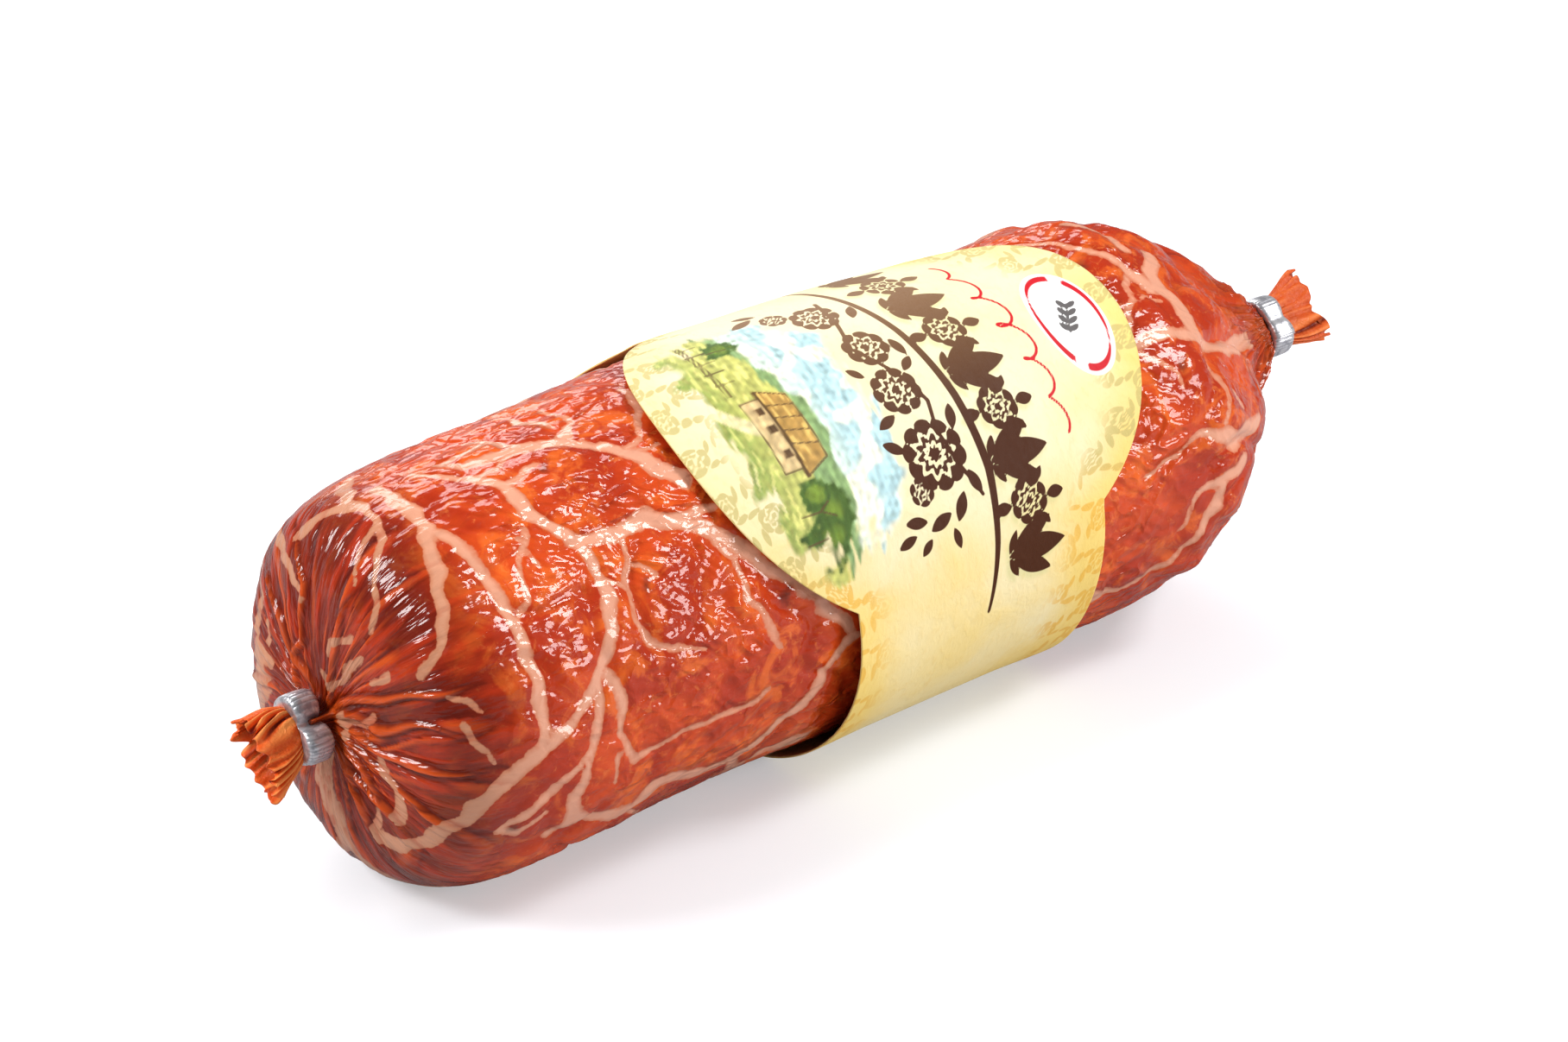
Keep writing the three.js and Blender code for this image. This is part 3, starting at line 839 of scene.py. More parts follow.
# Folds of gathered film that stand out of the near cap. A width below 0 lets a fold die away.
CAP_FOLDS: tuple[Route, ...] = (
    ((2, 46, 0.6), (6, 50, 0.6), (10.3, 45, 0.6), (15.3, 38, 0.6), (22, 33, 0.5), (33, 30, 0.3),
     (42, 28, -1.6)),
    ((2, 38, 0.6), (8, 32, 0.6), (15, 24, 0.6), (25, 19, 0.5), (42, 14, -1.6)),
    ((8, 150, 0.5), (14.5, 113, 0.6), (25, 107.5, 0.6), (37.5, 123, -1.6)),
    ((3, 62, 0.5), (10, 72, 0.6), (18, 76, 0.5), (30, 74, -1.6)),
    ((3, 30, 0.5), (9, 14, 0.6), (18, 6, 0.6), (30, 3, 0.4), (44, 2, -1.6)),
    ((3, 12, 0.5), (9, -6, 0.6), (18, -12, 0.6), (30, -17, 0.4), (42, -20, -1.6)),
    ((3, -8, 0.5), (9, -24, 0.6), (18, -31, 0.5), (32, -37, -1.6)),
    ((3, -34, 0.5), (10, -46, 0.6), (20, -54, 0.4), (32, -58, -1.6)),
    ((4, 120, 0.5), (12, 132, 0.6), (24, 140, 0.4), (36, 143, -1.6)),
    ((4, 176, 0.5), (12, 186, 0.6), (24, 190, 0.4), (38, 192, -1.6)),
    ((4, 214, 0.5), (12, 222, 0.6), (22, 226, 0.4), (34, 229, -1.6)),
)

# Dark spice under the film: walk and turn in degrees.
PEPPER: tuple[tuple[float, float], ...] = (
    (80.0, 33.7), (108.7, 16.3), (46.0, -20.5), (72.7, 74.7), (205.6, 77.0), (211.3, 36.7), (64.0, 118.0),
    (98.0, 134.0), (58.0, 188.0), (86.0, 214.0), (214.0, 150.0), (232.0, 196.0), (110.0, 238.0),
)


@dataclass
class Casing:
    """The filling in its printed film, from neck to neck: one closed skin."""

    form: Form
    place: Place
    columns: int = 392
    near_pitch: float = 0.86  # between rows, from the near neck to the label
    hidden_pitch: float = 4.0  # under the label
    far_pitch: float = 1.12
    label_walk: tuple[float, float] = (126.0, 180.0)
    oval_radii: tuple[float, float] = (3.5, 17.0)  # the section is the neck's oval at one, round at the other
    cap_walk: tuple[float, float] = (56.0, 34.0)  # where the near cap's gathered look starts and is full
    far_cap: tuple[float, float] = (34.0, 14.0)  # the same, as walks from the far neck
    valley_depth: float = 0.75
    wrinkle_depth: float = 0.2
    crinkles: tuple[tuple[float, float, float], ...] = (
        (15.0, 5.0, 0.03), (11.0, 5.0, 0.03), (19.0, 6.0, 0.04),
    )  # size of the field, wrinkles in it, height
    pleat_height: float = 0.95
    lump_depth: float = 2.6
    fin_height: float = 2.2  # of the film that is pinched up through the near clip's notch
    fin_reach: float = 12.0
    fold_width: float = 0.42
    fold_hollow: tuple[float, float] = (0.85, 0.35)  # how far beside a fold, spread
    vein_sway: tuple[float, float] = (0.35, 6.5)  # of the drawn lines: mm, length of the swing
    cells: int = 44  # between the veins of the back
    cell_gap: float = 17.0  # least distance between their middles
    cell_reach: float = 116.0  # furthest X of a middle
    pleat_families: tuple[tuple[int, float, float], ...] = (
        (17, 52.0, 0.8), (37, 42.0, 0.62), (61, 26.0, 0.4), (97, 15.0, 0.22),
    )  # ridges round the neck, reach along the walk, height
    finish: CasingFinish = CasingFinish()

    def turns(self) -> Array:
        """Turns of the columns: closest on the front and top, and wide apart on the ground."""
        bounds = np.radians([-125.0, -55.0, 135.0, 235.0])
        return paced(np.arange(self.columns) / self.columns, bounds, (0.35, 1.0, 0.7))

    def walks(self, outline: Outline) -> Array:
        """Walks of the rows."""
        start, stop = outline.walk[0], outline.walk[-1]
        enter, leave = self.label_walk
        near = np.arange(start, enter, self.near_pitch)
        hidden = np.arange(enter, leave, self.hidden_pitch)
        return np.concatenate([near, hidden, np.linspace(leave, stop, int((stop - leave) / self.far_pitch))])

    def skin(self, outline: Outline, walk: Array, turn: Array) -> tuple[Array, Array, Array]:
        """Plain skin: a circle round the middle line, dented, which turns into the neck's oval at each end.

        Args:
            outline: the body's section.
            walk: walks of the rows, as a column.
            turn: turns of the columns, as a row.

        Returns:
            Points, X of each row and radius of each row.
        """
        x, radius = outline.read(walk)
        y, z = self.form.middle(x)
        end_share = 1.0 - ease(radius, *self.oval_radii)
        near_oval = self.form.neck_oval(turn, self.form.near_roll)
        far_oval = self.form.neck_oval(turn, self.form.far_roll)
        oval = np.where(x < 0.0, near_oval, far_oval)
        round_radius = radius * (1.0 + end_share * (oval - 1.0)) - self.form.dent(x, turn)
        fin = bell(turn_between(turn, math.pi / 2.0 - self.form.near_roll), 0.16)
        fin = fin * ease(walk - outline.walk[0], self.fin_reach, 0.0)
        round_radius = round_radius + self.fin_height * fin
        points = spread(x, y - round_radius * np.cos(turn), z + round_radius * np.sin(turn))
        return points, x, radius

    @staticmethod
    def outward(points: Array) -> Array:
        """Unit normals of a grid of rings: the cross product of the ways along and around it."""
        along = np.gradient(points, axis=0)
        around = np.roll(points, -1, axis=1) - np.roll(points, 1, axis=1)
        normal = np.cross(along, around)
        normal /= np.linalg.norm(normal, axis=-1, keepdims=True) + 1e-12
        middle = points.mean(axis=1, keepdims=True)
        outside = np.sum(normal * (points - middle), axis=-1).mean() > 0.0
        return normal if outside else -normal

    def pleats(self, from_neck: Array, turn: Array, radius: Array, seed: int) -> tuple[Array, Array, Array]:
        """Film laid in pleats round a neck: families of saw teeth, each rising slowly and falling sharply.

        A tooth's height is the share of the way along it to the power 1.6. The fewest teeth reach the
        furthest out. Their turns are bent and their heights varied by random fields.

        Args:
            from_neck: walk from the neck.
            turn: the turn.
            radius: radius of the row.
            seed: picks the random fields.

        Returns:
            Height, about 1 at the tallest, and how much of the crests' tint and painted highlight and of the
            painted shade of the creases each place takes.
        """
        ring = spread(0.45 * from_neck, 16.0 * np.cos(turn), 16.0 * np.sin(turn))
        bent = turn + 0.11 * waves(ring, 15.0, seed)
        height, crest_tint_and_highlight, crease_shade = np.zeros((3, *bent.shape))
        for index, (count, reach, share) in enumerate(self.pleat_families):
            gate = ease(waves(ring, 9.0, seed + 11 + index), -1.3, 0.5)
            saw = np.mod(count * bent / (2.0 * math.pi) + 0.37 * index, 1.0)
            strength = share * gate * ease(from_neck, reach, reach * 0.3) * ease(from_neck, 0.0, 4.0)
            lip = ease(saw, 0.78, 0.9) * ease(saw, 1.0, 0.93)
            height += strength * saw**1.6 * ease(saw, 1.0, 0.9)
            crest_tint_and_highlight = np.maximum(crest_tint_and_highlight, ease(strength, 0.05, 0.6) * lip)
            crease_shade = np.maximum(crease_shade, ease(strength, 0.0, 0.35) * ease(saw, 0.16, 0.0))
        return height * np.minimum(1.0, radius / 10.0), crest_tint_and_highlight, crease_shade

    def hidden_veins(self, turn: Array, points: Array) -> Array:
        """Net of veins for the back and underside: the borders between random cells, some left open.

        A point's distance to a border is half the difference between its distances to the two nearest
        cell middles. The border's width comes from a random field, and where that is below 0 it is open.

        Args:
            turn: turn of each column.
            points: places on the skin.

        Returns:
            Signed distance in mm, negative inside a vein.
        """
        rng = np.random.default_rng(41)
        bent = points + 2.2 * spread(*(waves(points, 19.0, 50 + axis) for axis in range(3)))
        middles = []
        while len(middles) < self.cells:
            x, around = rng.uniform(-self.cell_reach, self.cell_reach), rng.uniform(0.0, 2.0 * math.pi)
            radius, (y, z) = self.form.body_radius(x), self.form.middle(x)
            spot = np.array([x, y - radius * math.cos(around), z + radius * math.sin(around)])
            if all(np.linalg.norm(spot - other) > self.cell_gap for other in middles):
                middles.append(spot)
        gaps = np.full((2, *points.shape[:2]), 999.0)
        for spot in middles:
            gap = np.linalg.norm(bent - spot, axis=-1)
            gaps[1] = np.minimum(gaps[1], np.maximum(gaps[0], gap))
            gaps[0] = np.minimum(gaps[0], gap)
        width = 1.0 + 1.1 * waves(points, 34.0, 60)
        seen = ease(np.abs(turn_between(turn, math.radians(40.0))), math.radians(84.0), math.radians(66.0))
        return (gaps[1] - gaps[0]) / 2.0 - np.minimum(width, 1.9) + 6.0 * seen

    def build(self) -> bpy.types.Object:
        """Skin with its relief, flat on the ground, and the fields that its finish reads.

        Returns:
            The finished piece.
        """
        form, outline = self.form, Outline(self.form)
        walk, turn = self.walks(outline)[:, None], self.turns()[None, :]
        plain, x, radius = self.skin(outline, walk, turn)
        near, far = walk - outline.walk[0], outline.walk[-1] - walk

        pleat, crest_tint_and_highlight, crease_shade = self.pleats(near, turn, radius, 70)
        far_pleat, far_crest, far_crease = self.pleats(1.25 * far, turn, radius, 90)
        bent_turn = turn + 0.6 * waves(plain, 12.0, 77) / np.maximum(radius, 6.0)
        folds = line_field(walk, bent_turn, radius, CAP_FOLDS)
        fold = bell(np.maximum(folds, 0.0), self.fold_width) * ease(near, 1.0, 6.0)
        beside = bell(folds - self.fold_hollow[0], self.fold_hollow[1]) * ease(near, 1.0, 6.0)
        valley = bell(waves(plain, 17.0, 3), 0.42) * (0.6 + 0.4 * waves(plain, 40.0, 4))
        relief = self.wrinkles(plain, walk, far, valley)
        relief += self.pleat_height * (pleat + 1.3 * far_pleat + 0.7 * fold - 0.2 * beside)
        relief -= self.lump_depth * self.lumps(plain, x, walk, far)
        points = plain + self.outward(plain) * relief[..., None]
        under_label = ease(np.abs(x - form.strip_x), form.strip_width / 2.0 + 2.0, form.strip_width / 2.0)
        points[..., 2] = np.maximum(points[..., 2], (form.paper + form.clearance) * under_label)

        swing, swing_length = self.vein_sway
        sway_walk = walk + swing * waves(points, swing_length, 8)
        sway = sway_walk, turn + swing * waves(points, swing_length, 9) / radius
        vein = line_field(*sway, radius, (*BODY_VEINS, *CAP_VEINS, *FAR_VEINS))
        spots = [((mm, degrees, 2.4), (mm + 1.0, degrees + 2.0, 1.2)) for mm, degrees in PEPPER]
        # Painted shade for the finish: the creases of the pleats at both ends and the hollows beside the
        # folds.
        crease_shade = np.maximum(np.maximum(crease_shade, 0.6 * far_crease), 0.8 * beside)
        fin = bell(turn_between(turn, math.pi / 2.0 - form.near_roll), 0.2) * ease(near, self.fin_reach, 5.0)
        # Crests for the finish, partly tint and partly painted highlight: the pleats at both ends, the raised
        # folds and the film pinched up through the near clip's notch.
        crest_tint_and_highlight = np.maximum(np.maximum(crest_tint_and_highlight, 0.5 * far_crest), np.maximum(fold, fin))
        fields = {
            "vein": np.minimum(vein, self.hidden_veins(turn, points)),
            "pepper": line_field(*sway, radius, spots),
            # Valley depth, which the finish also paints as shade.
            "valley": valley,
            "cap": np.maximum(ease(walk, *self.cap_walk), 0.6 * ease(far, *self.far_cap)) + 0.0 * turn,
            "crease_shade": np.clip(crease_shade * (0.45 + 0.55 * ease(near, 4.0, 13.0)), 0.0, 1.0),
            # Crests, read by the finish as the film's orange with a painted highlight.
            "pleat": np.clip(crest_tint_and_highlight, 0.0, 1.0),
            "ring": spread(0.006 * walk, np.cos(turn), np.sin(turn)),
        }
        before, after = self.neck_rings(points[0], End.NEAR)[::-1], self.neck_rings(points[-1], End.FAR)
        piece = make_tube("casing", np.concatenate([before, points, after]), self.place)
        for name, values in fields.items():
            store(piece, name, self.carried_on(values, len(before), len(after)))
        register(piece, "sausage", self.finish.material())
        return piece

    def wrinkles(self, points: Array, walk: Array, far: Array, valley: Array) -> Array:
        """Relief of broad valleys, wrinkles between them and fine crinkles, all faint near a neck.

        Args:
            points: places on the plain skin.
            walk: walk of each row.
            far: walk from the far neck.
            valley: depth of the valleys, 1 at the deepest.

        Returns:
            The height in mm, below 0.
        """
        soft = self.softness(walk, far)
        curled = points * (0.75, 1.0, 1.0) + 1.3 * waves(points, 9.0, 5)[..., None]
        wrinkle = bell(waves(curled, 6.0, 6), 0.3)
        relief = -self.valley_depth * np.clip(valley, 0, 1) * soft - self.wrinkle_depth * wrinkle * soft
        for index, (size, turns, height) in enumerate(self.crinkles):
            drawn = np.sin(turns * waves(curled, size, 21 + index))
            relief += height * (drawn - 1.0) * ease(waves(points, 13.0, 31 + index), -0.8, 0.6) * soft
        return relief

    @staticmethod
    def softness(walk: Array, far: Array) -> Array:
        """How freely the film wrinkles: less on the near cap, and least at the far neck."""
        return (1.0 - 0.75 * ease(walk, 54.0, 38.0)) * (0.2 + 0.8 * ease(far, 2.0, 12.0))

    def lumps(self, points: Array, x: Array, walk: Array, far: Array) -> Array:
        """How deep a place lies between the filling's lumps: most at the far end, a little at the near."""
        share = ease(x, 50.0, 84.0) + 0.3 * ease(x, -30.0, -70.0) * self.softness(walk, far)
        broad = ease(waves(points * (0.8, 1, 1), 30.0, 12), 0.9, -1.1) - 0.45
        narrow = 0.45 * bell(waves(points * (0.7, 1, 1), 22.0, 13), 0.45)
        return share * ease(far, 2.0, 16.0) * (broad + narrow)

    @staticmethod
    def carried_on(values: Array, before: int, after: int) -> Array:
        """Values of the skin's grid, its first and last rows repeated, and then one for each pole."""
        values = values.reshape(*values.shape[:2], -1)
        rows = np.concatenate([np.repeat(values[:1], before, 0), values, np.repeat(values[-1:], after, 0)])
        poles = np.stack([values[0].mean(axis=0), values[-1].mean(axis=0)])
        return np.concatenate([rows.reshape(-1, values.shape[-1]), poles])

    def neck_rings(self, ring: Array, end: End, count: int = 3) -> Array:
        """Rings that carry the skin on along X, to the middle of the clip.

        Args:
            ring: the last ring of the skin.
            end: which end it is.
            count: how many rings.

        Returns:
            The rings, outwards.
        """
        steps = np.linspace(0.0, self.form.clip_x - self.form.half, count + 1)[1:]
        return np.stack([ring + (end.value * step, 0.0, 0.0) for step in steps])


# ---------------------------------------------------------------------------------------------------
# Tails
# ---------------------------------------------------------------------------------------------------


@dataclass
class Tail:
    """Bare film beyond a clip: a gathered tube that flares, with a cut edge and an open mouth."""

    form: Form
    place: Place
    end: End
    name: str
    length: float  # from the clip to the cut edge
    width: float  # of the open edge
    depth: float
    drop: float  # how far the edge hangs
    mouth: float  # how deep the mouth is open
    pleats: int
    pleat_depth: float
    jagged: float  # how far the cut runs in and out
    seed: int
    film: float = 0.28  # thickness
    columns: int = 400
    rows: int = 34
    finish: TailFinish = TailFinish()

    def ring_scale(self, share: Array) -> Array:
        """How far the flare has opened: the share of the way to the power 0.55."""
        return np.clip(share, 0.0, 1.0) ** 0.55

    def sheet(self, share: Array, turn: Array, inset: float) -> tuple[Array, Array]:
        """One face of the film.

        A ring is an oval whose width and depth grow with the flare, folded by a sine of the pleats with
        a random field added, and its cut edge runs in and out by the jagged length.

        Args:
            share: the share of the way from the clip to the edge, as a column.
            turn: angle round the tail from its wide axis, as a row.
            inset: how far this face lies inside the outer one.

        Returns:
            Points in the body's frame, and the height of the fold from 0 to 1.
        """
        form, opened = self.form, self.ring_scale(share)
        wide = form.neck_width / 2.0 + (self.width - form.neck_width) / 2.0 * opened
        deep = form.neck_depth / 2.0 + (self.depth - form.neck_depth) / 2.0 * opened
        ring = spread(6.0 * np.cos(turn), 6.0 * np.sin(turn), 2.5 * share)
        bent = turn + 0.16 * waves(ring, 7.0, self.seed)
        fold = 0.5 + 0.5 * np.sin(self.pleats * bent) * (0.7 + 0.3 * waves(ring, 5.0, self.seed + 1))
        small = waves(ring, 2.2, self.seed + 2)
        depth_here = self.pleat_depth * (0.22 + 0.78 * opened)
        grow = depth_here * (fold - 0.6) * 2.0 + 0.2 * opened * small - inset
        across = (wide + grow) * np.cos(turn)
        through = np.maximum(deep + grow, 0.35) * np.sin(turn)
        reach = self.length + self.jagged * waves(ring * (1, 1, 0), 2.6, self.seed + 3)
        out = form.half + form.clip_length + form.clearance - 0.3 + share * reach
        roll = form.roll(self.end)
        y, z = form.middle(self.end.value * form.half)
        front = across * math.cos(roll) + through * math.sin(roll)
        up = through * math.cos(roll) - across * math.sin(roll)
        return spread(self.end.value * out, y - front, z + up - self.drop * share), fold

    def build(self) -> bpy.types.Object:
        """Outer face from inside the clip to the cut edge, and inner face back down to the mouth's floor.

        Returns:
            The finished piece.
        """
        turn = np.linspace(0.0, 2.0 * math.pi, self.columns, endpoint=False)[None, :]
        hidden = -self.form.clip_length / 2.0 / self.length
        outer = np.concatenate([[hidden, hidden / 2], np.linspace(0.0, 1.0, self.rows) ** 1.4])[:, None]
        inner = np.linspace(1.0, 1.0 - self.mouth / self.length, self.rows // 2)[:, None]
        out_points, out_fold = self.sheet(outer, turn, 0.0)
        in_points, in_fold = self.sheet(inner, turn, self.film)
        closing = ease(inner, 1.0 - 0.6 * self.mouth / self.length, float(inner[-1, 0]))[..., None]
        middle = in_points.mean(axis=1, keepdims=True)
        in_points = in_points + (middle - in_points) * 0.9 * closing
        piece = make_tube(self.name, np.concatenate([out_points, in_points]), self.place)
        fold = np.concatenate([out_fold, in_fold])
        # How deep into the mouth a place lies, which the finish paints as shade.
        depth = np.zeros(fold.shape)
        depth[len(outer):] = ease(inner, 1.0, float(inner[-1, 0]))
        store(piece, "fold", np.append(fold, [0.5, 0.0]))
        store(piece, "inside", np.append(0.9 * depth, [0.0, 1.0]))
        register(piece, "sausage", self.finish.material())
        return piece


# ---------------------------------------------------------------------------------------------------
# Clips
# ---------------------------------------------------------------------------------------------------


@dataclass
class Clip:
    """A strap of soft aluminium pressed round a neck, its two legs meeting in a notch."""

    form: Form
    place: Place
    end: End
    node: str
    notch: float  # depth of the notch between the legs
    lobe: float  # bulge of each leg beside it
    step_turn: float  # where the strap's end overlaps
    thickness: float
    stretch: float  # of the strap's width
    step: float = 0.45  # height of the overlap's edge
    ridge_depth: float = 0.16
    ridges: int = 46
    around: int = 300
    section: int = 28
    finish: ClipFinish = ClipFinish()

    def axes(self) -> tuple[Array, Array, Array]:
        """Wide axis, the axis that the notch faces, and the axis along the neck."""
        roll = self.form.roll(self.end)
        wide = np.array([0.0, -math.cos(roll), -math.sin(roll)])
        up = np.array([0.0, -math.sin(roll), math.cos(roll)])
        return wide, up, np.cross(wide, up)

    def build(self) -> bpy.types.Object:
        """A bar's rounded section carried round the neck's oval, thicker at the lobes.

        The section is a superellipse, |u|^4 + |v|^4 = 1, and each ring lies at the neck's oval plus the
        clearance.

        Returns:
            The finished piece.
        """
        form = self.form
        turn = np.linspace(0.0, 2.0 * math.pi, self.around, endpoint=False)[:, None]
        angle = np.linspace(0.0, 2.0 * math.pi, self.section, endpoint=False)[None, :]
        squash = (np.abs(np.cos(angle)) ** 4 + np.abs(np.sin(angle)) ** 4) ** -0.25
        layer, along = 0.5 + 0.5 * np.cos(angle) * squash, np.sin(angle) * squash
        side = turn_between(turn, math.pi / 2.0)
        lobes = self.lobe * (bell(side - 0.68, 0.4) + bell(side + 0.68, 0.4))
        notch = self.notch * bell(side, 0.19)
        past = turn_between(turn, self.step_turn)
        step = self.step * (ease(past, -0.02, 0.02) - ease(past, 0.05, 0.9)) - 0.1 * bell(past + 0.03, 0.03)
        zone = ease(np.abs(side), 1.5, 1.2) * ease(np.abs(side), 0.25, 0.4)
        groove = zone * (0.5 + 0.5 * np.cos(self.ridges * turn)) ** 3 * ease(layer, 0.5, 0.9)
        thick = np.maximum(self.thickness + lobes - notch + step, 0.25)
        narrow = 1.0 - 0.16 * bell(side, 0.3) + 0.05 * (lobes / max(self.lobe, 0.1))
        out = form.clearance - 0.15 + layer * thick - self.ridge_depth * groove
        across = (form.neck_width / 2.0 + out) * np.cos(turn)
        through = (form.neck_depth / 2.0 + out) * np.sin(turn)
        length = along * self.stretch * form.clip_length / 2.0 * narrow
        wide, up, axis = self.axes()
        centre = np.array([self.end.value * form.clip_x, *form.middle(self.end.value * form.half)])
        points = centre + across[..., None] * wide + through[..., None] * up + length[..., None] * axis
        faces = grid_faces(self.around, self.section, True, True).tolist()
        piece = make_object(self.node + "_strap", points.reshape(-1, 3), faces, self.place)
        store(piece, "groove", groove)
        register(piece, self.node, self.finish.material())
        return piece


# ---------------------------------------------------------------------------------------------------
# Label
# ---------------------------------------------------------------------------------------------------


def leaf(
    across: Array, along: Array, spot: tuple[float, float], size: tuple[float, float], tilt: float
) -> Array:
    """Signed distance to a pointed leaf: |s| less half its width times 1 - (2t / length)^2.

    Args:
        across: first coordinate of the places.
        along: second coordinate.
        spot: the leaf's middle.
        size: its length and width.
        tilt: angle of its length from the first coordinate, in degrees.

    Returns:
        The distance, negative inside.
    """
    cos, sin = math.cos(math.radians(tilt)), math.sin(math.radians(tilt))
    t = (across - spot[0]) * cos + (along - spot[1]) * sin
    s = (along - spot[1]) * cos - (across - spot[0]) * sin
    return np.abs(s) - size[1] / 2.0 * (1.0 - (2.0 * t / size[0]) ** 2)


def blossom(across: Array, along: Array, spot: tuple[float, float], radius: float, petals: int) -> Array:
    """Signed distance to an open blossom: a lobed disc, less two rings of gaps between its petals.

    Args:
        across: first coordinate of the places.
        along: second coordinate.
        spot: its middle.
        radius: mean radius of its outline.
        petals: number of petals in the outer ring.

    Returns:
        The distance, negative on the print.
    """
    out = np.hypot(across - spot[0], along - spot[1])
    angle = np.arctan2(along - spot[1], across - spot[0])
    lobed = out - radius * (1.0 + 0.13 * np.abs(np.sin(petals * angle / 2.0)) ** 0.7 - 0.06)
    gap = radius * 0.075
    inner_ring = np.abs(out - radius * (0.6 + 0.1 * np.cos(petals * angle))) - gap
    core_ring = np.abs(out - radius * (0.28 + 0.06 * np.cos(petals * angle))) - gap
    rays = np.abs(np.sin(petals * angle / 2.0)) * out - gap
    rays = np.maximum(rays, radius * 0.62 - out)
    gaps = np.minimum(np.minimum(inner_ring, core_ring), rays)
    return np.maximum(lobed, -gaps)


# Leaves of an ornament: X and length round the body from its middle, length, width, tilt.
PALMETTE = (
    (0.6, 0.0, 14.6, 5.2, 0), (-0.6, -3.3, 11.0, 3.6, -24), (-5.4, -2.6, 5.0, 1.8, -62),
    (-0.6, 3.3, 11.0, 3.6, 24), (-5.4, 2.6, 5.0, 1.8, 62),
)
ROSETTE_LEAVES = (
    (-6.6, 0.0, 4.4, 2.6, 0), (3.4, -4.3, 3.6, 1.6, -50), (6.6, 0.0, 4.4, 2.6, 0), (3.4, 4.3, 3.6, 1.6, 50),
)

# The flowering branch: X, turn and width along its bough and its brush stroke; X, turn, radius and
# petals of its blossoms; X, turn, length, width and tilt of its leaves.
BOUGH: Route = (
    (8.5, 98, 0.9), (6.0, 84, 0.9), (3.4, 74, 0.8), (8.0, 62, 0.9), (10.5, 52, 0.9), (9.0, 44, 0.8),
    (10.5, 34, 0.9), (14.0, 24, 0.8),
)
STROKE: Route = (
    (13, -9, 0.8), (15.3, 10, 1.4), (17, 30, 1.9), (16.7, 51, 1.8), (15.3, 75, 1.5), (12.4, 104, 1.2),
    (11.7, 118, 0.8),
)
BLOSSOMS = (
    (4.4, 91, 4.6, 9), (-2.2, 97, 2.6, 7), (6.4, 73, 4.5, 8), (5.6, 57.5, 4.9, 9), (6.4, 38, 6.6, 10),
    (0.6, 30, 2.6, 6),
)
LEAVES = (
    (-7.6, 101, 6.5, 2.4, 20), (-5.0, 105, 5.0, 2.0, -30), (11.6, 88, 5.0, 2.2, 60),
    (12.4, 70, 5.2, 2.2, 100), (11.4, 64, 4.4, 2.0, 40), (0.0, 66, 4.2, 1.8, 130), (13.4, 46, 5.4, 2.3, 70),
    (-0.2, 50, 5.0, 2.2, 20), (-1.6, 43, 5.2, 2.3, -35), (13.0, 28, 5.6, 2.4, 110), (8.4, 23, 6.0, 2.6, 60),
    (3.0, 21, 6.0, 2.6, 20), (-2.6, 23, 5.4, 2.3, -10), (-5.6, 19, 5.0, 2.0, 15), (6.0, 15.5, 4.4, 1.9, 100),
    (-1.4, 16, 4.0, 1.8, 40),
)

# Pen lines of the painting, as shares of its half width from its middle and of its height.
PEN_LINES = (
    ((-0.28, 0.372), (0.38, 0.372), (0.30, 0.54), (-0.18, 0.54), (-0.28, 0.372)),
    ((-0.22, 0.37), (-0.22, 0.245), (0.32, 0.245), (0.32, 0.37)),
    ((0.6, 0.22), (0.61, 0.36), (0.66, 0.44)),
    ((0.61, 0.34), (0.56, 0.42)),
    ((0.78, 0.2), (0.77, 0.34)),
    ((-0.76, 0.36), (-0.74, 0.5)),
    ((-0.95, 0.31), (-0.6, 0.27), (-0.3, 0.25)),
    ((-0.95, 0.285), (-0.6, 0.245), (-0.3, 0.225)),
    *(((u, 0.54), (u - 0.05, 0.375)) for u in (-0.1, 0.0, 0.1, 0.2)),
    *(((u, 0.297 - 0.11 * u), (u, 0.167 - 0.11 * u)) for u in (-0.9, -0.78, -0.66, -0.54, -0.42)),
)


